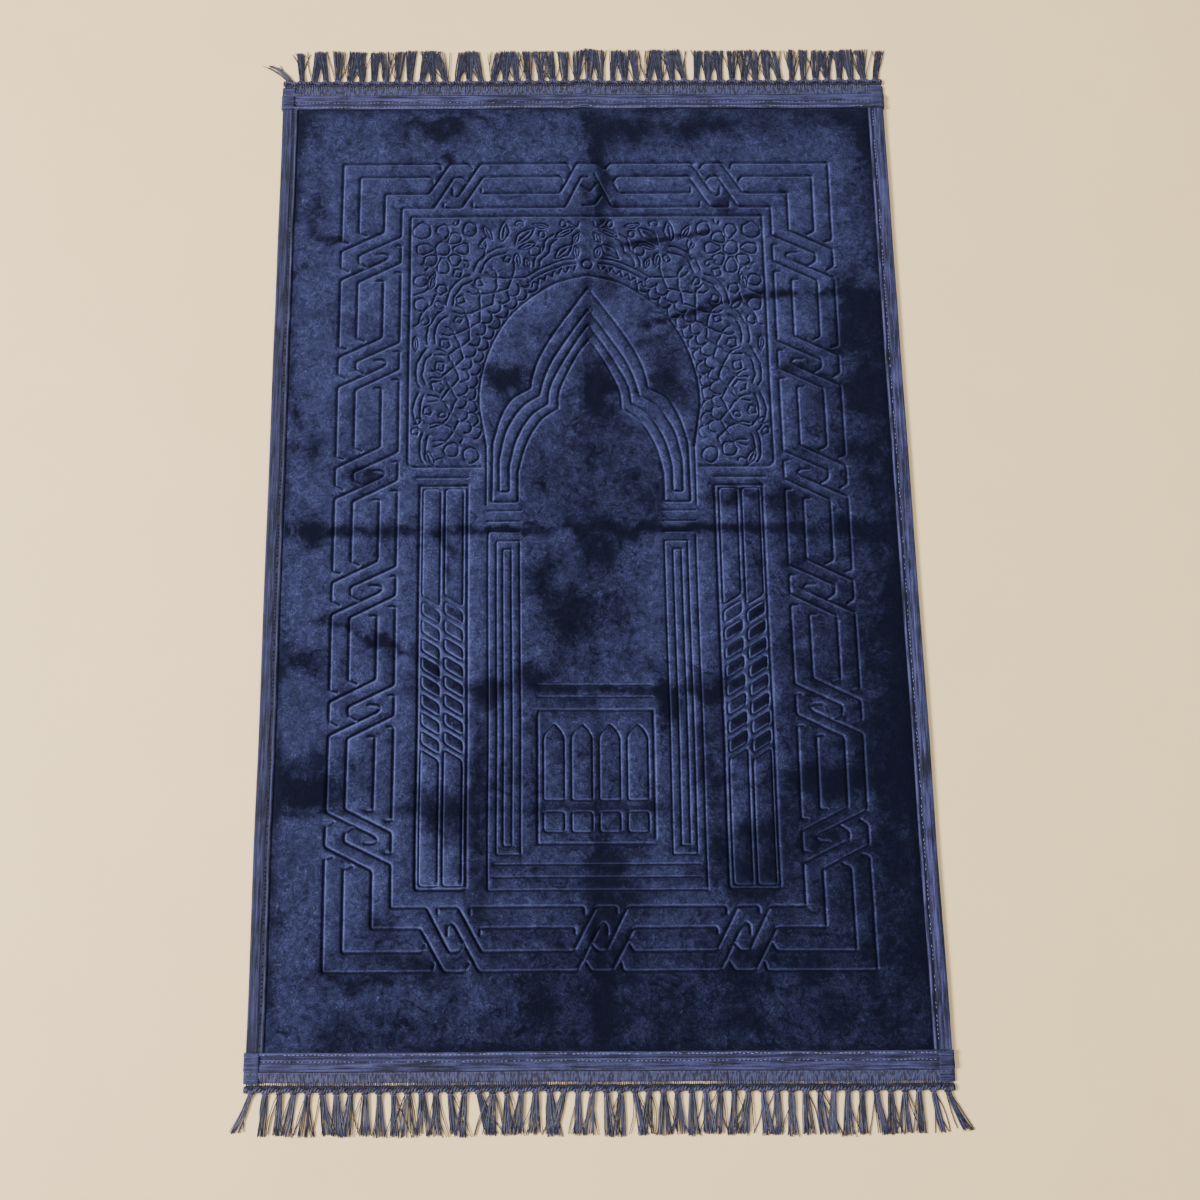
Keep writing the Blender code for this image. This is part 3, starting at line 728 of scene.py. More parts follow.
def arch_lines():
    """The lines of both arches on the right side."""
    lines = [outer_arch]
    for upper, lower in zip(ARCH_UPPER, ARCH_LOWER):
        lines.append(smooth(upper, ARCH_STEPS) + smooth(lower, ARCH_STEPS)[1:])
    return lines + [soften(line, False, ROUND["line"]) for line in ARCH_FEET]


def box_line(x0, x1, y0, y1):
    return [(x0, y0), (x1, y0), (x1, y1), (x0, y1)]


def column_lines():
    """A column on the right side: its cap and outline, and in each half a panel, the cells of the
    twist, and a second panel."""
    c, t = COLUMN, TWIST
    open_lines = [((x0, y), (x1, y)) for x0, x1, y in COLUMN_CAP]
    left, right, top, foot = c["inner"], c["outer"], c["top"], c["foot"]
    upper, lower = top - c["clear"][0], foot + c["clear"][1]
    outline = [(left, top), (left, foot), (right, foot), (right, top)]
    open_lines.append(soften(outline, False, ROUND["column"]))
    cells = []
    for x0, x1 in c["halves"]:
        tops = [t["from"] - k * t["pitch"] - t["gap"] / 2 for k in range(t["turns"] + 1)]
        feet = [y + t["gap"] for y in tops]
        spans = [((upper, upper), (feet[0] - t["rise"], feet[0]))]
        for top, foot in zip(tops, feet[1:]):
            spans.append(((top - t["rise"], top), (foot - t["rise"], foot)))
        spans.append(((tops[-1] - t["rise"], tops[-1]), (lower, lower)))
        for (top0, top1), (foot0, foot1) in spans:
            cells.append(soften([(x0, top0), (x1, top1), (x1, foot1), (x0, foot0)], True, t["round"]))
    return open_lines, cells


def window(x):
    """A pointed window over the door, as a closed line."""
    w = WINDOW
    right = [(w["half"], w["foot"]), (w["half"], w["shoulder"]), (w["half"] * 0.6, w["haunch"])]
    outline = right + [(0, w["point"])] + flip(right)[::-1]
    return soften([(x + across, y) for across, y in outline], True, ROUND["line"])


def in_spandrel(x, y):
    x0, x1, y0, y1 = SPANDREL
    return x0 < x < x1 and y0 < y < y1


def off_arch(along, off):
    """A point beside the outer arch: how far along it from its peak, and how far outwards."""
    (x, y), a = spread(outer_arch, along, 1.0, 1)[0]
    return x - off * math.sin(a), y + off * math.cos(a)


def little_leaves(others):
    """Lobed leaves in the gaps that the other flowers leave, outside the arch."""
    tree = tree_of([(points, False) for points in others + [outer_arch, FRAME]])
    draw = random.Random(11)
    found = []
    for _ in range(LITTLE["tries"]):
        x, y = draw.uniform(*LITTLE["x"]), draw.uniform(*LITTLE["y"])
        over = y > np.interp(x, *np.array(OUTER_ARCH).T) if x < ARCH_SIDE else True
        room = min([tree.find((x, y, 0.0))[2]] + [math.hypot(x - u, y - v) - r for u, v, r in found])
        if over and room > LITTLE["room"]:
            found.append((x, y, min(room - LITTLE["clear"], LITTLE["most"])))
    leaves = []
    turns = np.arange(16) * 2 * math.pi / 16
    for x, y, r in found:
        lobes, phase = draw.choice(LOBES["of"]), draw.uniform(0, 6)
        far = r * (LOBES["middle"] + LOBES["swing"] * np.sin(lobes * turns + phase))
        leaves.append([tuple(q) for q in zip(x + far * np.cos(turns), y + far * np.sin(turns))])
    return leaves


def flower_lines():
    """The right spandrel: rosette, buds, garland, net, scales, teeth, rope, leaves and curls."""
    rose, lobes, scales, net, teeth = ROSETTE, GARLAND, SCALES, NET, TEETH
    closed = [ring(*rose["at"], rose["eye"], 12)]
    for k in range(rose["petals"]):
        if k != rose["bare"]:
            turn = k * 2 * math.pi / rose["petals"]
            far = rose["to"] - rose["shorter"] * (k % 2)
            closed.append(petal(*rose["at"], turn, rose["from"], far, rose["wide"], 14))
    closed += [ring(x, y, radius, 12) for x, y, radius in BUDS]
    opened = []
    middles = beside(outer_arch, lobes["off"])
    for (x, y), a in spread(middles, lobes["from"], lobes["pitch"], lobes["count"]):
        out = a + math.pi / 2
        for radius in lobes["radii"]:
            opened.append(bow(x, y, radius, out - lobes["half"], out + lobes["half"], 13))
    for k in range(net["count"]):
        start = net["from"] + k * net["pitch"]
        for hand in (-1, 1):
            line = []
            for u in np.linspace(0, 1, 10):
                along = start + hand * (net["slant"] * u + net["bow"] * math.sin(math.pi * u))
                if NET_SPAN[0] < along < NET_SPAN[1]:
                    line.append(off_arch(along, net["near"] + (net["far"] - net["near"]) * u))
            opened.append(line)
    for k, off in enumerate(scales["off"]):
        start = scales["from"] + (k % 2) * scales["pitch"] / 2
        for (x, y), a in spread(beside(outer_arch, off), start, scales["pitch"], scales["count"]):
            turn, half = a - math.pi / 2, scales["half"]
            opened.append(bow(x, y, scales["radius"], turn - half, turn + half, 9))
    steps = [teeth["from"] + k * teeth["pitch"] for k in range(teeth["count"])]
    opened.append([off_arch(along, teeth["off"][1 - k % 2]) for k, along in enumerate(steps)])
    for off in ROPE["off"]:
        opened.append([off_arch(along, off) for along in np.linspace(ROPE["from"], ROPE["to"], 8)])
    for side in (-0.5, 0.5):
        opened.append([tuple(q) for q in beside(smooth(STEM, 3), side * STEM_WIDE)])
    for row in LEAVES:
        outline, rib = leaf(*row)
        closed.append(outline)
        opened.append(rib)
    opened += [smooth(line, 4) for line in TENDRILS]
    opened += [curl(*row) for row in CURLS]
    closed += little_leaves([line for line in closed + opened if len(line) > 1])
    kept = [[q for q in line if in_spandrel(*q)] for line in opened]
    return closed, [line for line in kept if len(line) > 1]


def wobbly(line):
    """A flower's line as a hand might draw it."""
    far, long = WOBBLE
    return [
        (x + far * stir(x / long, y / long, 1.0), y + far * stir(x / long, y / long, 5.0))
        for x, y in line
    ]


def pressed_lines():
    """Every pressed line: points in millimetres from the pattern's middle, closed or open, kind."""
    found = [(soften(line, False, ROUND["line"]), False, "line") for line in border_lines()]
    blooms, stalks = flower_lines()
    column, cells = column_lines()
    right_half = (
        ("line", False, [soften(FRAME, False, ROUND["line"]), *arch_lines()]),
        ("fine", False, PILASTER),
        ("fine", True, [soften(box_line(*box), True, ROUND["shaft"]) for box in SHAFTS]),
        ("line", False, column),
        ("fine", True, cells),
        ("flower", True, [wobbly(line) for line in blooms]),
        ("flower", False, [wobbly(line) for line in stalks]),
    )
    for kind, closed, lines in right_half:
        for line in lines:
            found += [(line, closed, kind), (flip(line), closed, kind)]
    found += [(((-half, y), (half, y)), False, "fine") for half, y in BASE_LINES + DOOR_LINES]
    half, top, foot = DOOR
    found.append((box_line(-half, half, foot, top), True, "line"))
    for x in WINDOWS_AT:
        pane = box_line(x - WINDOW["half"], x + WINDOW["half"], PANES[1], PANES[0])
        found.append((window(x), True, "fine"))
        found.append((soften(pane, True, ROUND["pane"]), True, "fine"))
    return found


def banks(points, closed, off):
    """The lines at both sides of a pressed line, with mitred corners."""
    p = np.array(points, float)
    way = to_length_one(np.diff(np.vstack([p, p[:1]]) if closed else p, axis=0))
    before = np.vstack([way[-1:], way[:-1]]) if closed else np.vstack([way[:1], way])
    after = way if closed else np.vstack([way, way[-1:]])
    side = to_left(before + after)
    side /= np.maximum((side * to_left(after)).sum(1), MITRE_LEAST)[:, None]
    return p + off * side, p - off * side, way


def add_line(points, closed, places, edges):
    """Adds a line's points and its edges to the lists."""
    first = len(places)
    places += [tuple(q) for q in points]
    edges += [(first + k, first + k + 1) for k in range(len(points) - 1)]
    if closed:
        edges.append((len(places) - 1, first))


def tree_of(lines):
    """The points of some lines, half a millimetre apart, to look up which is nearest."""
    samples = np.vstack([spaced(points, closed, 0.5) for points, closed in lines])
    tree = KDTree(len(samples))
    for k, (x, y) in enumerate(samples):
        tree.insert((x, y, 0.0), k)
    tree.balance()
    return tree


def reach(tree, spots):
    """How far each spot is from the nearest point of a tree, and which way that lies."""
    far, way = [], []
    for x, y in spots:
        nearest, _, gap = tree.find((x, y, 0.0))
        far.append(gap)
        way.append(((nearest.x - x) / max(gap, 0.01), (nearest.y - y) / max(gap, 0.01)))
    return np.array(far), np.array(way)


def painted_cell_shade_and_rib_light(spots):
    """How much painted shade darkens the twisted columns' cells, each a little differently, and how
    much painted highlight lightens the ribs between them."""
    t = TWIST
    x, y = np.abs(spots[:, 0] - PATTERN_AT[0]), spots[:, 1] - PATTERN_AT[1]
    on_right = spots[:, 0] > 0
    sides = on_right.astype(float)
    mean, change, least, most = t["differ"]
    dark = np.zeros(len(spots))
    for x0, x1 in COLUMN["halves"]:
        turn = (t["from"] - y - t["rise"] * (x1 - x) / (x1 - x0)) / t["pitch"]
        part = turn % 1 * t["pitch"] - t["gap"] / 2
        inner = np.minimum(np.minimum(part, t["pitch"] - t["gap"] - part), np.minimum(x - x0, x1 - x))
        own = [mean + change * stir(cell * 1.7, x0, side) for cell, side in zip(turn // 1, sides)]
        share = np.where(on_right, t["dark"][1], t["dark"][0]) * np.clip(own, least, most)
        share = np.where((turn > 0) & (turn < t["turns"]), share, 0)
        within = np.clip((inner - t["edge"][0]) / t["edge"][1], 0, 1)
        here = (x > x0 - t["beside"]) & (x < x1 + t["beside"])
        dark += here * (share * within - t["rib"] * (share > 0) * (1 - within))
    return dark


def together(across, along):
    """Adds two shares of painted light on a bank. Where they work against each other, one of them
    wins.
    """
    o = OPPOSED
    across_wins = np.abs(across) > o["across"] * np.abs(along)
    if_across = across + o["loser"] * along
    if_along = o["along"] * along + o["loser"] * across
    winner = np.where(across_wins, if_across, if_along)
    return np.where(across * along >= 0, across + along, winner)


def from_crease(spots, points):
    """How far each spot is to the left of a crease, less than nothing to its right."""
    p = np.array(points, float)
    nearest = np.full(len(spots), 1e9)
    signed = np.zeros(len(spots))
    for a, b in zip(p[:-1], p[1:]):
        way = (b - a) / np.linalg.norm(b - a)
        u = np.clip((spots - a) @ way, 0, np.linalg.norm(b - a))
        gap = spots - a - u[:, None] * way
        far = np.linalg.norm(gap, axis=1)
        side = np.sign(way[0] * gap[:, 1] - way[1] * gap[:, 0])
        signed = np.where(far < nearest, side * far, signed)
        nearest = np.minimum(nearest, far)
    return signed


def velvet_spots(half_x, half_y, lines, trees):
    """Points of the pile side in millimetres, and the triangles between them."""
    places, edges = [], []
    for inset, _ in RIM:
        outline = box_line(inset - half_x, half_x - inset, inset - half_y, half_y - inset)
        add_line(outline if inset == 0 else spaced(outline, True, RIM_STEP), True, places, edges)
    for points, closed, kind in lines:
        half, _, _ = PRESS[kind]
        add_line(points, closed, places, edges)
        for share in BANK_ROWS:
            left, right, way = banks(points, closed, half * share)
            if closed:
                add_line(left, True, places, edges)
                add_line(right, True, places, edges)
            else:
                tips = points[-1] + share * half * way[-1], points[0] - share * half * way[0]
                add_line(np.vstack([left, tips[:1], right[::-1], tips[1:]]), True, places, edges)
    draw = random.Random(5)
    between, stray = FIELD["between"], FIELD["stray"]
    for row in range(int(2 * half_y / between)):
        for column in range(int(2 * half_x / between)):
            x = (column + 0.5 + either_way(draw, stray)) * between - half_x
            y = (row + 0.5 + either_way(draw, stray)) * between - half_y
            if min(half_x - abs(x), half_y - abs(y)) <= FIELD["inset"]:
                continue
            if min(tree.find((x, y, 0.0))[2] for tree in trees) > FIELD["clear"]:
                places.append((x, y))
    made = delaunay_2d_cdt([Vector(q) for q in places], edges, [], 0, MERGE)
    return np.array([tuple(q) for q in made[0]]), [tuple(f) for f in made[2]]


def pressed_in(spots, trees):
    """How far the lines press each spot down, how near it is to one, and the shade and light painted
    on its bank.
    """
    found = [reach(tree, spots) for tree in trees]
    sunk, pressed, facing, either = np.zeros((4, len(spots)))
    light = PAINTED_BANK_LIGHT
    turns_at = np.interp(spots[:, 0], *np.array(BANKS_TURN).T)
    along = light["along"] * np.clip((spots[:, 1] - turns_at) / light["within"], -1, 1)
    for (half, depth, _), (far, way) in zip(PRESS.values(), found):
        share = math.pi * np.clip(far / half, 0, 1)
        bank = 0.5 + 0.5 * np.cos(share)
        sunk = np.maximum(sunk, depth * bank)
        # How near a line is, which the finish darkens as painted shade in the grooves
        pressed = np.maximum(pressed, bank)
        swell = PILLOW["facing"] * (1 - hump(far, half)) * np.exp(-far / PILLOW["reach"])
        # Painted light and shade on the banks, and on the rounding of the cloth beside them
        facing += (np.sin(share) + swell) * together(light["across"] * way[:, 0], along * way[:, 1])
        either = np.maximum(either, np.sin(share))
    facing *= np.interp(spots[:, 1], *np.array(BANKS_STRONG).T)
    # A painted sheen on both banks of every line
    facing += light["both"] * either
    nearest = np.minimum.reduce([far for far, _ in found])
    return sunk + PILLOW["drop"] * np.exp(-nearest / PILLOW["reach"]), pressed, facing


def hump(far, half):
    """From 1 in the middle of a soft hump down to 0 well beyond its half width."""
    return np.exp(-((far / half) ** 2))


def patchy(spots, mean, change, size, least, seed):
    """A share of up to 1 that differs from place to place."""
    return np.clip(mean + change * mottle(spots, size, seed), least, 1)


def crease(spots, stray, sunk, nap):
    """Presses the creases in between their ridges, and darkens the nap that is rubbed along them."""
    at, wide = CREASE_RIDGES
    for points, half, depth, ridge_left, ridge_right, dark in CREASES:
        off = from_crease(spots + CREASE_STRAY * stray, points)
        sunk += depth * hump(off, half)
        sunk -= ridge_left * hump(off - at * half, wide * half)
        sunk -= ridge_right * hump(off + at * half, wide * half)
        worn = np.minimum(dark * patchy(spots, *PATCHY_CREASE, depth), 1)
        nap *= 1 - worn * hump(off, CREASE_NAP * half)


def rub(spots, inset, stray, nap):
    """Darkens the nap in the rubbed patches and beside the tapes, and paints shade into the twisted
    columns' cells and highlights on their ribs.
    """
    x, y = (spots + stray).T
    for at_x, at_y, wide, long, dark in RUBBED:
        nap *= 1 - dark * np.exp(-(((x - at_x) / wide) ** 2 + ((y - at_y) / long) ** 2))
    # Painted shade in the twisted columns' cells and painted highlights on their ribs
    nap *= 1 - painted_cell_shade_and_rib_light(spots)
    dark, at, wide = EDGE_NAP
    nap *= 1 - dark * patchy(spots, *PATCHY_EDGE, 6.6) * hump(inset - at, wide)


def velvet_mat(finish):
    """The mat, and on each of its points how far it is pressed, the light and shade painted on its
    bank, and how its nap lies.
    """
    half_x = WIDTH / 2 - TAPE - CLEAR
    half_y = LENGTH / 2 - TAPE - CLEAR
    lines = []
    for line, closed, kind in pressed_lines():
        lines.append((spaced(np.array(line, float) + PATTERN_AT, closed, PRESS[kind][2]), closed, kind))
    trees = [tree_of([line[:2] for line in lines if line[2] == kind]) for kind in PRESS]
    spots, faces = velvet_spots(half_x, half_y, lines, trees)
    inset = np.minimum(half_x - np.abs(spots[:, 0]), half_y - np.abs(spots[:, 1]))
    sunk, pressed, facing = pressed_in(spots, trees)
    stray = np.stack([
        sum(far * mottle(spots, size, seed) for far, size in STRAY) for seed in (2.3, 8.9)
    ], 1)
    halves, heights = np.array(NICHE, float).T
    niche = np.abs(spots[:, 0]) < np.interp(spots[:, 1], heights, halves, 0, 0)
    nap = NAP_BASE * (1 - NICHE_NAP * niche)
    crease(spots, stray, sunk, nap)
    rub(spots, inset, stray, nap)
    uneven = sum(high * mottle(spots, size, seed) for high, size, seed in UNEVEN)
    height = np.interp(inset, *np.array(RIM).T)
    height += np.clip((inset - HELD["to"]) / HELD["over"], 0, 1) * (uneven - sunk)
    points = [(*lie(x, y), z * MM) for (x, y), z in zip(spots, height)]

    from_corners = [np.hypot(spots[:, 0] - x * half_x, spots[:, 1] - y * half_y) for x, y in CORNERS]
    loops = [[int(np.argmin(far)) for far in from_corners]]
    for inwards, z in UNDER:
        loops.append(range(len(points), len(points) + 4))
        points += [(*lie(x * (half_x - inwards), y * (half_y - inwards)), z * MM) for x, y in CORNERS]
    for above, below in zip(loops[:-1], loops[1:]):
        for k in range(4):
            n = (k + 1) % 4
            faces.append((above[n], above[k], below[k], below[n]))
    faces.append(tuple(loops[-1][::-1]))
    piece = new_piece("velvet_mat", points, faces, finish)
    for name, values in (("pressed", pressed), ("facing", facing), ("nap", nap)):
        paint(piece, name, np.pad(values, (0, len(points) - len(values))))
    return piece


def new_piece(name, points, faces, finish):
    """A mesh piece that goes with the rug, its faces turned outwards."""
    shape = bmesh.new()
    corners = [shape.verts.new(p) for p in points]
    for face in faces:
        shape.faces.new([corners[k] for k in face])
    bmesh.ops.recalc_face_normals(shape, faces=shape.faces)
    mesh = bpy.data.meshes.new(name)
    shape.to_mesh(mesh)
    shape.free()
    mesh.shade_smooth()
    mesh.materials.append(finish)
    piece = bpy.data.objects.new(name, mesh)
    bpy.context.scene.collection.objects.link(piece)
    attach(piece, "root")
    return piece


def paint(piece, name, values):
    """Gives each point of a piece its value, for its material to read."""
    layer = piece.data.attributes.new(name, "FLOAT", "POINT")
    layer.data.foreach_set("value", values)


# The velvet's dark and light nap, which are also the painted shade and painted highlights of its
# shading
NAP_DARK_AND_SHADE = (0.0014, 0.0021, 0.0115)
NAP_LIGHT_AND_HIGHLIGHT = (0.089, 0.105, 0.290)

velvet, wire = new_finish("velvet_pile", {
    "Roughness": 0.8,
    "Specular IOR Level": 0.06,
    "Sheen Weight": 0.10,
    "Sheen Roughness": 0.4,
    "Sheen Tint": (0.36, 0.42, 0.85, 1),
})
nap, pressed, facing = [wire.painted(name) for name in ("nap", "pressed", "facing")]
drift = wire.cloud(22.0, 4.0, 0.6, 0.5)
clumps = wire.cloud(85.0, 5.0, 0.68, 1.4)
dabs = wire.cloud(120.0, 3.0, 0.6, 1.2).soft_step(0.34, 0.62, 0.66, 1.18)
bent = abs(wire.cloud(190.0, 1.5, 0.5, 2.5) - 0.5)
# Bent hairs of the pile, painted as fine highlights, which also roughen its relief
bent_pile_glints = bent.soft_step(0.0, 0.045, 1.0, 0.0) * wire.cloud(70.0, 2.0).soft_step(0.44, 0.56)
locks = wire.cloud(280.0, 4.0, 0.7, 3.0).soft_step(0.34, 0.66)
hairs = wire.cloud(640.0, 3.0, 0.65, 2.5).soft_step(0.30, 0.70)
fur = locks * 0.55 + hairs * 0.45
blots = wire.cloud(48.0, 5.0, 0.72, 1.8).soft_step(0.54, 0.64)
tone = nap - blots * 0.22 + (drift - 0.5) * 0.8 + (clumps - 0.5) * 0.8 + (fur - 0.5) * 0.25
lightness = tone.soft_step(0.20, 1.05, 0.02, 0.455) * dabs
# Painted shade darkens the pressed lines, and painted light and shade lie on their banks
raised = lightness * (0.34 + 1.0 * fur + 1.6 * bent_pile_glints) * (1 - 0.40 * pressed + 0.9 * facing)
# Painted highlights on the lit banks, added on top
shade = raised + facing.soft_step(0.0, 1.2, 0.0, 0.18) * (0.5 + 0.9 * fur)
shade.blend(NAP_DARK_AND_SHADE, NAP_LIGHT_AND_HIGHLIGHT).plug("Base Color")
pile = fur * 0.5 + (clumps - 0.5) * 0.8 + bent_pile_glints * 0.3
pile.relief(1.0, 0.0012).plug("Normal")

mat = velvet_mat(velvet)
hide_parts("mat")


# ---- The tapes -----------------------------------------------------------------------------------
# Cotton tape, folded over each edge of the mat and sewn through. Its inner edge is turned under, which
# gives the raised rib beside the velvet. The end tapes are sewn twice and cover the side tapes' ends.

# Sections, from under the mat round the fold to the inner edge and back through the pocket: inwards
# from the fold, height, and how light the tape is painted there: painted highlights on its ribs and
# folds, painted shade in the hollows of its seams and in the pocket
POCKET = ((18.0, 3.6, 0.3), (0.8, 3.6, 0.3), (0.8, 0.8, 0.3), (15.5, 0.8, 0.3))
FOLD = (
    (15.5, 0.0, 1.0), (1.4, 0.0, 1.0), (0.4, 0.4, 0.9),
    (0.0, 1.4, 0.8), (0.1, 3.0, 0.8), (0.7, 4.0, 1.0),
)
SIDE_SECTION = FOLD + (
    (1.8, 4.6, 1.0), (3.2, 4.7, 0.8), (4.2, 4.4, 0.5), (5.2, 4.8, 1.0), (7.2, 4.75, 1.1),
    (8.6, 4.3, 0.7), (9.8, 4.65, 1.1), (11.2, 4.4, 0.9), (12.3, 3.9, 0.5), (13.1, 3.7, 0.2),
    (13.9, 3.75, 0.1), (14.8, 4.0, 0.25), (15.6, 4.9, 0.9), (16.5, 5.4, 1.6), (17.4, 5.2, 1.5),
    (18.1, 4.4, 0.5), (18.3, 3.8, 0.2),
) + POCKET
END_SECTION = FOLD + (
    (1.2, 4.7, 1.3), (2.2, 4.9, 1.2), (3.2, 4.5, 0.7), (4.4, 4.8, 1.0), (6.4, 4.7, 1.1),
    (8.0, 4.5, 0.9), (8.9, 4.15, 0.6), (9.6, 3.9, 0.4), (10.3, 4.3, 0.8), (11.4, 4.4, 1.1),
    (12.3, 3.8, 0.3), (13.2, 4.0, 0.4), (14.4, 4.2, 0.7), (15.5, 5.0, 1.2), (16.4, 5.4, 1.7),
    (17.3, 5.2, 1.5), (18.1, 4.4, 0.5), (18.3, 3.8, 0.2),
) + POCKET
SIDE_HALF = LENGTH / 2 - 18.6  # half the length of a side tape, which ends at the end tapes
END_HALF = WIDTH / 2 + 1.2
TAPE_UNEVEN = ((0.30, 14.0, 3.0), (0.25, 40.0, 9.0))  # how high, in what length and width
SEAM_PITCH = 4.2
PUCKER = (0.35, 1.4)  # how deep the seams draw the tape in between two stitches, and how wide
SIDE_PUCKERS = (13.1,)
END_PUCKERS = (9.6, 12.6)
# Rows of stitches: inwards, height, length and half thickness of a stitch
SIDE_STITCHES = ((13.1, 3.95, 2.9, 0.48),)
END_STITCHES = ((9.6, 4.15, 2.9, 0.42), (16.4, 5.55, 3.5, 0.55))
LAST_STITCH = 14.0  # how far short of an end tape's end they stop
SUNK_SHARE = 0.3  # of the stitches, too deep in the cloth to show
# How stitches differ: how far astray and how slanted either way, and length from and to
STITCH_DIFFERS = {"stray": 0.35, "slant": 0.6, "long": (0.55, 1.2)}
# A stitch from end to end: place in its length, rise, share of its thickness
STITCH = ((-0.5, -0.5, 0.6), (-0.32, 0.0, 1), (0.0, 0.12, 1.05), (0.32, 0.0, 1), (0.5, -0.5, 0.6))


def at_edge(edge, along, inwards):
    """A point beside an edge, in millimetres of the square-cut rug."""
    return {
        "left": (inwards - WIDTH / 2, along),
        "right": (WIDTH / 2 - inwards, along),
        "head": (along, LENGTH / 2 - inwards),
        "foot": (along, inwards - LENGTH / 2),
    }[edge]


def add_sweep(first, rows, n, faces):
    """Adds the faces of a closed section of n points that is repeated in rows, and of both ends."""
    for a in range(first, first + (rows - 1) * n, n):
        b = a + n
        faces += [(a + k, a + (k + 1) % n, b + (k + 1) % n, b + k) for k in range(n)]
    last = first + (rows - 1) * n
    faces += [tuple(range(first, first + n)), tuple(range(last, last + n))]


def folded_tape(edge, section, half, puckers, finish):
    """A tape along one edge: its section, puckered by the seams and a little uneven."""
    n = len(section)
    stations = np.arange(-half, half + 0.1, 2 * half / round(2 * half / (SEAM_PITCH / 3)))
    deep, wide = PUCKER
    points, faces = [], []
    for along in stations:
        tight = 0.5 + 0.5 * math.cos(2 * math.pi * along / SEAM_PITCH)
        for k, (inwards, height, _) in enumerate(section):
            if len(FOLD) <= k < n - len(POCKET) - 1:
                for seam in puckers:
                    height -= deep * tight * math.exp(-(((inwards - seam) / wide) ** 2))
                for high, long, broad in TAPE_UNEVEN:
                    height += high * stir(along / long, inwards / broad, ord(edge[0]))
            points.append((*lie(*at_edge(edge, along, inwards)), height * MM))
    add_sweep(0, len(stations), n, faces)
    piece = new_piece(f"tape_{edge}", points, faces, finish)
    # The painted highlights and shade of the section, for the finish to read
    paint(piece, "light", [light for _, _, light in section] * len(stations))
    return piece


def add_strand(path, thick, sides, points, faces, shares=None, up=(0, 0, 1)):
    """Adds a closed tube along a path to the lists of points and faces. Its half thickness is in
    millimetres, and shares of it may follow the path."""
    p = np.array(path, float)
    way = to_length_one(np.gradient(p, axis=0))
    across = to_length_one(np.cross(way, up))
    above = np.cross(across, way)
    first = len(points)
    turns = np.arange(sides) * 2 * math.pi / sides
    for q, a, b, r in zip(p, across, above, thick * MM * np.array(shares or [1] * len(p))):
        points += [tuple(q + r * (math.cos(t) * a + math.sin(t) * b)) for t in turns]
    add_sweep(first, len(p), sides, faces)


def seam_stitches(edge, half, rows, finish):
    """The stitches that show on a tape: each dips into the cloth at both ends."""
    draw = random.Random(ord(edge[0]))
    points, faces = [], []
    for inwards, height, long, thick in rows:
        for k in range(int(2 * half / SEAM_PITCH)):
            along = (k + 0.5) * SEAM_PITCH - half
            if draw.random() < SUNK_SHARE:
                continue
            stray = either_way(draw, STITCH_DIFFERS["stray"])
            slant = either_way(draw, STITCH_DIFFERS["slant"])
            shorter = draw.uniform(*STITCH_DIFFERS["long"])
            path = []
            for u, rise, _ in STITCH:
                place = at_edge(edge, along + u * long * shorter, inwards + stray + slant * u)
                path.append((*lie(*place), (height + rise) * MM))
            add_strand(path, thick, 5, points, faces, shares=[share for _, _, share in STITCH])
    return new_piece(f"stitches_{edge}", points, faces, finish)


TAPE_COLOURS = ((0.003, 0.004, 0.017), (0.053, 0.059, 0.184))
THREAD_COLOURS = ((0.078, 0.0822, 0.174), (0.13, 0.137, 0.29))


def tape_finish(name, stretch, light):
    """Matt cotton tape, streaked along its length, with a fine plain weave, that shows the light and
    shade painted on its section; light is how light the whole tape is painted.
    """
    tape, wire = new_finish(name, {
        "Roughness": 0.8,
        "Specular IOR Level": 0.3,
        "Sheen Weight": 0.15,
        "Sheen Tint": (0.5, 0.55, 0.9, 1),
    })
    streaks = wire.cloud(520.0, 3.0, 0.55, 0.3, stretch)
    worn = wire.cloud(40.0, 4.0)
    weave = wire.cloud(700.0, 3.0, 0.7)
    tone = 0.45 + (streaks - 0.5) * 2.2 + (worn - 0.5) * 1.0 + (weave - 0.5) * 0.9
    # The section's painted highlights and shade, times the whole tape's painted light
    shade = wire.painted("light") * tone.soft_step(0.0, 1.0, 0.0, light)
    shade.blend(*TAPE_COLOURS).plug("Base Color")
    ripple = (streaks - 0.5) * 1.4 + (weave - 0.5) * 0.6
    ripple.relief(0.8, 0.001).plug("Normal")
    return tape


thread, wire = new_finish("sewing_thread", {"Roughness": 0.45})
wire.cloud(700.0, 2.0).blend(*THREAD_COLOURS).plug("Base Color")

end_finish = tape_finish("tape_along_ends", (0.05, 1.0, 1.0), 0.95)
with_mat = []
# The left tape is painted darker than the right, as shade
for edge, light in (("left", 0.56), ("right", 1.05)):
    side_finish = tape_finish(f"tape_along_{edge}", (1.0, 0.05, 1.0), light)
    tape = folded_tape(edge, SIDE_SECTION, SIDE_HALF, SIDE_PUCKERS, side_finish)
    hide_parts(f"side_binding_{edge}")
    sewn = side_finish if edge == "left" else thread
    with_mat += [tape, seam_stitches(edge, SIDE_HALF, SIDE_STITCHES, sewn)]
for edge in ("head", "foot"):
    tape = folded_tape(edge, END_SECTION, END_HALF, END_PUCKERS, end_finish)
    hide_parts(f"end_binding_{edge}")
    with_mat += [tape, seam_stitches(edge, END_HALF - LAST_STITCH, END_STITCHES, thread)]


# ---- The corner tucks ----------------------------------------------------------------------------
# At each corner the end tape's loose end is folded back over the corner, and holds the end of the
# fringe's heading down as well.

ENDS = {"head": 1, "foot": -1}
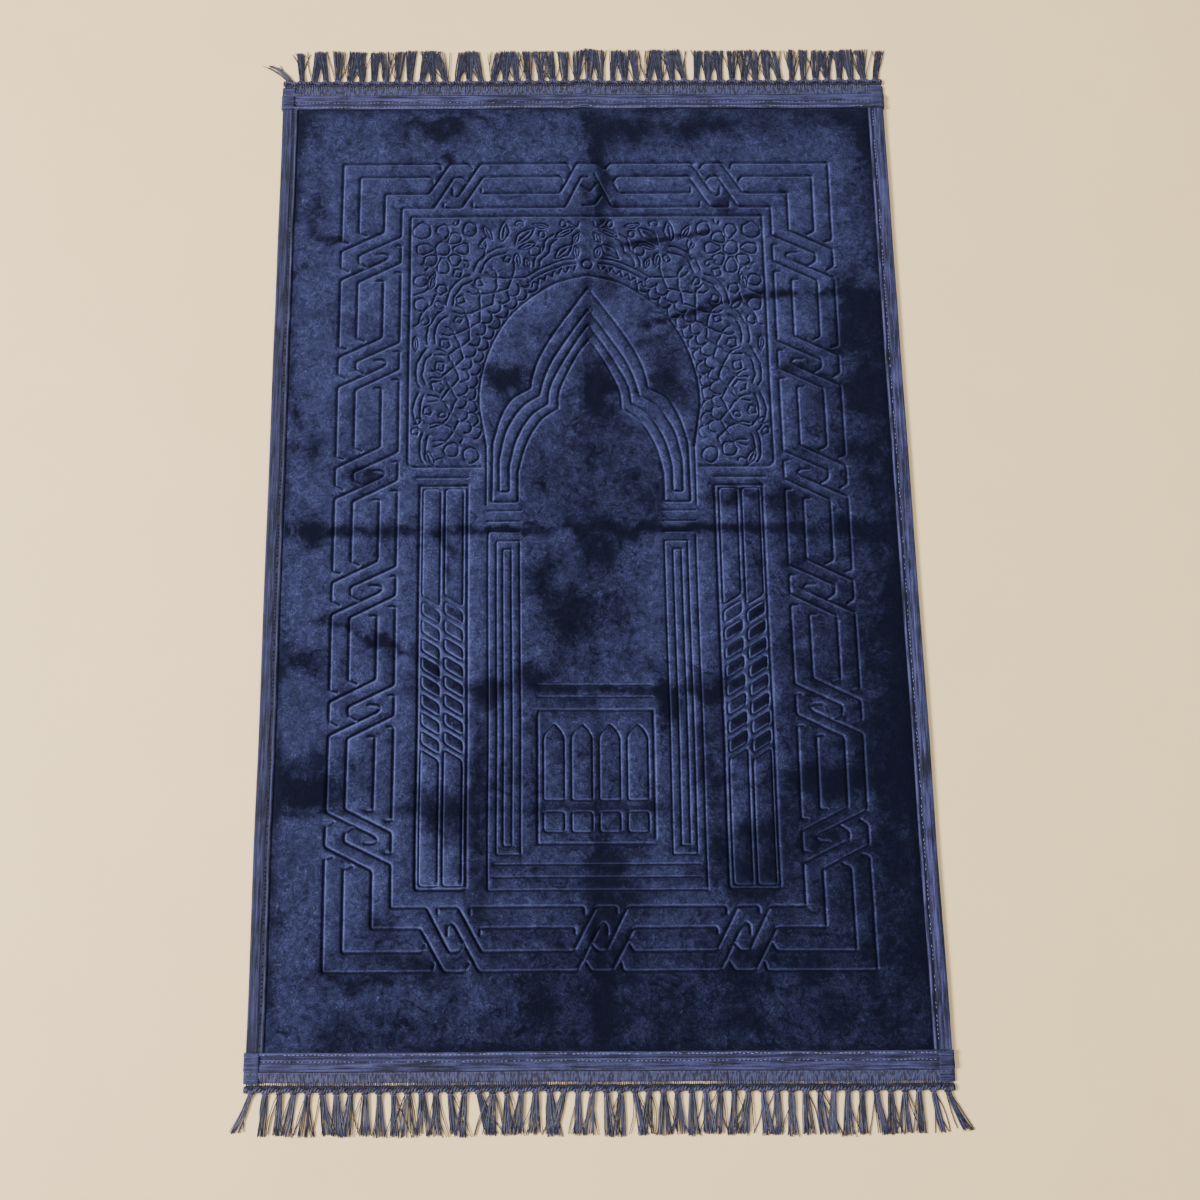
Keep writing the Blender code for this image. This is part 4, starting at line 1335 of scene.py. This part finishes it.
# Where the tuck's points lie: inwards from the side, and outwards from the end tape's fold
TUCK_ACROSS = (-1.9, -1.8, -1.5, -0.9, 0.0, 1.5, 4.0, 8.0, 11.5, 13.5, 14.0)
TUCK_ALONG = (
    -18.0, -17.3, -14.5, -11.0, -7.5, -4.0, -2.0, -1.0, -0.4, 0.2, 1.0, 2.5, 6.0, 10.5, 11.5,
)
TUCK_TOP = {"tape": 5.75, "heading": 3.3, "edge": 0.5, "hem": 0.45}  # heights, and the hems' drop
TUCK_STEP = (-0.4, 2.2)  # where it steps down from the tape to the heading, and how steeply
TUCK_ROUND = (3.0, 2.2)  # how wide its edge is rounded, and how fully
TUCK_THICK = 0.6
TUCK_LOW = (0.2, 0.05)  # lowest place of the upper and of the lower sheet
TUCK_INSIDE = -1.2  # the lower sheet's edge, inside the upper one's
TUCK_UNEVEN = (0.25, 4.0, 5.0)  # how high, in what width and length
TUCK_LIGHT = 0.9


def tuck_height(inwards, out):
    """The top of a tuck: over the tape, then a step down to the heading, and round the edge."""
    step_at, steep = TUCK_STEP
    wide, full = TUCK_ROUND
    step = 1 / (1 + math.exp(-(out - step_at) * steep))
    on_top = TUCK_TOP["tape"] * (1 - step) + TUCK_TOP["heading"] * step
    rounding = 1 - max(0.0, 1 - (inwards - TUCK_ACROSS[0]) / wide) ** full
    return TUCK_TOP["edge"] + (on_top - TUCK_TOP["edge"]) * rounding


def corner_tuck(edge, side, finish):
    """A patch of tape folded over a corner: top, edge and underside in one closed sheet."""
    first, last = TUCK_ACROSS[0], TUCK_ACROSS[-1]
    high, wide, long = TUCK_UNEVEN
    top, low = [], []
    for out in TUCK_ALONG:
        y = ENDS[edge] * (LENGTH / 2 + out)
        for inwards in TUCK_ACROSS:
            height = tuck_height(inwards, out)
            height += high * stir(inwards / wide, out / long, 3.0 * side + ENDS[edge])
            if inwards == last or out in (TUCK_ALONG[0], TUCK_ALONG[-1]):
                height -= TUCK_TOP["hem"]
            height = max(height, TUCK_LOW[0])
            top.append((*lie(side * (WIDTH / 2 - inwards), y), height * MM))
            height = max(height - TUCK_THICK, TUCK_LOW[1])
            inwards = max(inwards, TUCK_INSIDE + 0.1 * (inwards - first))
            low.append((*lie(side * (WIDTH / 2 - inwards), y), height * MM))
    n, m = len(TUCK_ACROSS), len(TUCK_ALONG)
    faces = []
    for r in range(m - 1):
        for c in range(n - 1):
            a = r * n + c
            faces.append((a, a + 1, a + n + 1, a + n))
            faces.append((m * n + a, m * n + a + n, m * n + a + n + 1, m * n + a + 1))
    rim = list(range(n)) + [r * n + n - 1 for r in range(1, m)]
    rim += [(m - 1) * n + c for c in range(n - 2, -1, -1)] + [r * n for r in range(m - 2, 0, -1)]
    for a, b in zip(rim, rim[1:] + rim[:1]):
        faces.append((a, m * n + a, m * n + b, b))
    name = f"tuck_{edge}_{'left' if side < 0 else 'right'}"
    piece = new_piece(name, top + low, faces, finish)
    paint(piece, "light", [TUCK_LIGHT] * len(top + low))
    return piece


for edge in ENDS:
    with_mat += [corner_tuck(edge, side, end_finish) for side in (-1, 1)]


# ---- The fringes ---------------------------------------------------------------------------------
# Each fringe is sewn on under the end tape: a woven heading that ends in a ladder of single threads,
# a twisted cord with a knot for every tuft, and the tufts of fine yarn, spread on the floor.

TUFTS = 50
TUFT_PITCH = WIDTH / TUFTS
FRINGE_HALF = WIDTH / 2 - 1.0
# The heading's section: outwards from the end tape's fold, height
HEADING = (
    (0.35, 0.4), (0.35, 4.1), (1.0, 4.2), (2.2, 3.6), (5.0, 2.7), (8.5, 2.0), (10.0, 1.6), (10.6, 1.1),
    (9.9, 0.4),
)
HEADING_STATIONS = 400
HEADING_UNEVEN = (0.25, 12.0, 4.0)  # how high, in what length and width
HEADING_LIGHT = 0.6
# Threads of the ladder: half thickness, how it changes along the fringe, how it differs from thread
# to thread and its limits, and how far they bend
LADDER = {
    "pitch": 2.1,
    "thick": 0.74,
    "change": 1.3,
    "in": 60.0,
    "differ": 0.15,
    "least": 0.4,
    "most": 1.05,
    "bend": 0.5,
}
LADDER_FULLER = {"head": 0.35, "foot": 0.0}
# A thread's path: outwards, share of its bend, height
LADDER_PATH = ((9.4, 0.0, 1.1), (11.0, 0.6, 1.1), (12.6, 1.0, 1.2), (15.0, 0.5, 1.9))
# The twisted runs along the fringe, from the rug outwards; the last value is the share of light
# The chain is partly dark thread and partly a painted shadow along the cord, so it has no share of
# light
CHAIN_AND_SHADOW = {
    "at": 14.3, "height": 1.7, "twist": 0.8, "thick": 0.85, "pitch": 4.4, "sway": 0.3, "light": 0.0,
}
CORD = {
    "at": 17.4, "height": 2.6, "twist": 1.5, "thick": 1.3, "pitch": 6.4, "sway": 0.9, "light": 0.55,
}
CORD_STEP = 0.9
CORD_UNEVEN = (0.8, 9.0)  # how uneven its sway is, and in what length
CORD_FLAT = 0.8  # how high a twist is for its width
KNOT = {"at": 19.0, "height": 2.55, "wide": 2.9, "high": 1.5, "thick": 0.95, "light": 0.85}
KNOT_TURNS = ((-0.9, 0.7), (0.9, -0.5))  # how far out from the knot's middle, and how it leans
KNOT_DIFFERS = 0.4  # how differently, either way
# Threads that loop back at the corners: inwards from the side, out, half width, half length
LOOPS = ((1.2, 17.0, 1.6, 3.4), (7.8, 15.6, 1.7, 3.0), (20.8, 15.6, 1.7, 3.0))
LOOP = {"thick": 0.75, "height": 2.0, "open": 0.4, "light": 0.15}  # open: the angle at its root
# A tuft's yarns: how many, half width at the knot and at the tips, how light the lightest is
TUFT = {"head": (23, 3.0, 6.4, 0.72), "foot": (17, 2.4, 6.6, 1.0)}
TUFT_LEAN = (17.0, 22.0, 3.4)  # how far neighbours lean the same way, in what length, and each alone
TUFT_DIFFERS = {"fan": (0.65, 1.25), "long": (-1.5, 1.0)}  # share of its width; longer by
# A yarn's height: at the knot, on the floor, how high others lie on that, and where it has come down
YARN = {
    "thick": 0.5,
    "from": 18.6,
    "long": 42.0,
    "knot": 2.3,
    "floor": 0.54,
    "heap": 1.5,
    "down": 0.3,
}
YARN_PATH = (0.0, 0.1, 0.25, 0.42, 0.6, 0.8, 1.0)
YARN_SHARES = (1, 1, 1, 1, 1, 1, 0.8)  # of its thickness, which its tip has less of
YARN_DIFFERS = {"root": (0.1, 0.9), "tip": 0.8, "bulge": 1.0, "long": (-2.0, 0.8), "wave": 0.25}
ASTRAY = {"share": 0.2, "tip": (4.0, 11.0), "bulge": 4.0, "light": 0.35}
SPLAYED_FAN = 0.5
# Tufts at the corners that splay: edge, which tuft from the left, across and along at its tip
SPLAYED = (
    ("head", 0, -24.0, -20.0),
    ("head", 1, -4.0, -1.0),
    ("head", 49, 6.0, -1.0),
    ("foot", 0, -17.0, -4.0),
    ("foot", 1, -3.0, 0.0),
    ("foot", 2, -3.0, 0.0),
    ("foot", 49, 15.0, -4.0),
    ("foot", 48, 7.0, -1.0),
)


def out_from(edge, across, out, height):
    """A point outside an end of the rug, in metres."""
    return (*lie(across, ENDS[edge] * (LENGTH / 2 + out)), height * MM)


def tint_rest(tints, points, share):
    """Gives every point that has no tint yet this share of the light colour."""
    tints += [share] * (len(points) - len(tints))


def tinted(name, points, faces, tints, finish):
    """A piece of yarn whose every point has its own share of the light colour."""
    piece = new_piece(name, points, faces, finish)
    paint(piece, "tint", tints)
    return piece


def heading(edge, finish):
    """The woven strip, and along it the ladder of threads that runs out to the cord."""
    points, faces, n = [], [], len(HEADING)
    high, long, wide = HEADING_UNEVEN
    for along in np.linspace(-FRINGE_HALF, FRINGE_HALF, HEADING_STATIONS):
        for k, (out, height) in enumerate(HEADING):
            lift = high * stir(along / long, out / wide, 9.0 + ord(edge[0]))
            points.append(out_from(edge, along, out, height + (lift if 1 < k < n - 2 else 0)))
    add_sweep(0, HEADING_STATIONS, n, faces)
    draw = random.Random(ord(edge[0]) + 1)
    for k in range(int(2 * FRINGE_HALF / LADDER["pitch"])):
        along = (k + 0.5) * LADDER["pitch"] - FRINGE_HALF
        full = stir(along / LADDER["in"], 2.0, ord(edge[0])) + LADDER_FULLER[edge]
        thick = LADDER["thick"] + LADDER["change"] * full + either_way(draw, LADDER["differ"])
        thick = min(max(thick, LADDER["least"]), LADDER["most"])
        bend = either_way(draw, LADDER["bend"])
        path = [out_from(edge, along + bend * share, out, height) for out, share, height in LADDER_PATH]
        add_strand(path, thick, 5, points, faces)
    return tinted(f"fringe_heading_{edge}", points, faces, [HEADING_LIGHT] * len(points), finish)


def add_twist(edge, run, phase, points, faces):
    """Adds one of a run's two strands, which dips between the tufts."""
    path = []
    for along in np.arange(-FRINGE_HALF, FRINGE_HALF, CORD_STEP):
        turn = 2 * math.pi * along / run["pitch"] + phase
        sway = run["sway"] * math.cos(2 * math.pi * along / TUFT_PITCH)
        sway += run["sway"] * CORD_UNEVEN[0] * stir(along / CORD_UNEVEN[1], phase, ord(edge[0]))
        out = run["at"] - sway + run["twist"] * math.cos(turn)
        height = run["height"] + run["twist"] * CORD_FLAT * math.sin(turn)
        path.append(out_from(edge, along, out, height))
    add_strand(path, run["thick"], 7, points, faces)


def knotted_cord(edge, finish):
    """The cord with a hitch round the root of each tuft, the thinner chain beside it, near black as
    dark thread and as a painted shadow, and at the corners the threads of both that loop back."""
    points, faces, tints = [], [], []
    draw = random.Random(ord(edge[0]) + 2)
    for run in (CHAIN_AND_SHADOW, CORD):
        for phase in (0.0, math.pi):
            add_twist(edge, run, phase, points, faces)
        tint_rest(tints, points, run["light"])
    for k in range(TUFTS):
        middle = (k + 0.5) * TUFT_PITCH - WIDTH / 2
        for shift, lean in KNOT_TURNS:
            path = []
            tilt = lean + either_way(draw, KNOT_DIFFERS)
            for turn in np.linspace(0, 2 * math.pi, 13):
                across = middle + KNOT["wide"] * math.cos(turn)
                out = KNOT["at"] + shift + tilt * math.cos(turn)
                path.append(out_from(edge, across, out, KNOT["height"] + KNOT["high"] * math.sin(turn)))
            add_strand(path, KNOT["thick"], 6, points, faces, up=(0, 1, 0))
        tint_rest(tints, points, draw.uniform(0.0, KNOT["light"]))
    for side in (-1, 1):
        for inwards, at, wide, long in LOOPS:
            path = []
            for turn in np.linspace(LOOP["open"], 2 * math.pi - LOOP["open"], 12):
                across = side * (WIDTH / 2 - inwards + wide * math.sin(turn))
                path.append(out_from(edge, across, at + long * math.cos(turn), LOOP["height"]))
            add_strand(path, LOOP["thick"], 6, points, faces)
    tint_rest(tints, points, LOOP["light"])
    return tinted(f"fringe_cord_{edge}", points, faces, tints, finish)


def tufts(edge, finish):
    """Tufts of fine yarn that leave the knots together and fan out on the floor, a few astray."""
    draw = random.Random(ord(edge[0]) + 3)
    splayed = {row[1]: row[2:] for row in SPLAYED if row[0] == edge}
    points, faces, tints = [], [], []
    count, half_root, half_tip, lightest = TUFT[edge]
    far, in_length, alone = TUFT_LEAN
    for k in range(TUFTS):
        middle = (k + 0.5) * TUFT_PITCH - WIDTH / 2
        lean = far * stir(middle / in_length, 5.0, ord(edge[0])) + either_way(draw, alone)
        tip_across, tip_along = splayed.get(k, (lean, 0.0))
        fan = half_tip * draw.uniform(*TUFT_DIFFERS["fan"]) * (SPLAYED_FAN if k in splayed else 1)
        tuft_long = YARN["long"] + draw.uniform(*TUFT_DIFFERS["long"])
        for j in range(count):
            share = 2 * (j + draw.uniform(*YARN_DIFFERS["root"])) / count - 1
            root = share * half_root
            tip = share * fan + either_way(draw, YARN_DIFFERS["tip"])
            bulge = either_way(draw, YARN_DIFFERS["bulge"])
            astray = draw.random() < ASTRAY["share"]
            if astray:
                tip += draw.choice((-1, 1)) * draw.uniform(*ASTRAY["tip"])
                bulge *= ASTRAY["bulge"]
            long = tuft_long + draw.uniform(*YARN_DIFFERS["long"])
            layer = draw.uniform(0.0, 1.0)
            path = []
            for u in YARN_PATH:
                across = middle + root + (tip_across + tip - root) * u**1.15
                across += bulge * math.sin(math.pi * u) + either_way(draw, YARN_DIFFERS["wave"])
                out = YARN["from"] + long * u + tip_along * u**1.5
                rest = YARN["floor"] + YARN["heap"] * layer * (1 - 0.5 * u)
                height = rest + (YARN["knot"] - rest) * max(0.0, 1 - u / YARN["down"]) ** 1.5
                path.append(out_from(edge, across, out, height))
            add_strand(path, YARN["thick"], 5, points, faces, shares=YARN_SHARES)
            light = draw.uniform(0.0, ASTRAY["light"]) if astray else draw.random()
            tint_rest(tints, points, lightest * light)
    return tinted(f"fringe_tufts_{edge}", points, faces, tints, finish)


YARN_COLOURS = ((0.003, 0.004, 0.014), (0.070, 0.077, 0.172))
HEADING_COLOURS = ((0.003, 0.004, 0.013), (0.064, 0.070, 0.188))

yarn, wire = new_finish("tuft_yarn", {
    "Roughness": 0.42,
    "Sheen Weight": 0.15,
    "Sheen Tint": (0.5, 0.55, 0.8, 1),
})
tint = wire.painted("tint")
shade = tint * tint * 0.9 + (wire.cloud(200.0, 3.0) - 0.42) * 0.9
shade.blend(*YARN_COLOURS).plug("Base Color")

heading_finish, wire = new_finish("heading_weave", {"Roughness": 0.7})
ribs = wire.cloud(620.0, 3.0, 0.5, 0.0, (1.0, 0.12, 1.0))
shade = wire.painted("tint") * ribs.soft_step(0.36, 0.64, 0.15, 1.25)
shade.blend(*HEADING_COLOURS).plug("Base Color")
ribs.relief(1.0, 0.0009).plug("Normal")

for edge in ENDS:
    strip = heading(edge, heading_finish)
    cord = knotted_cord(edge, heading_finish)
    fringe = tufts(edge, yarn)
    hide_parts(f"fringe_{edge}")
    with_mat += [strip, cord, fringe]
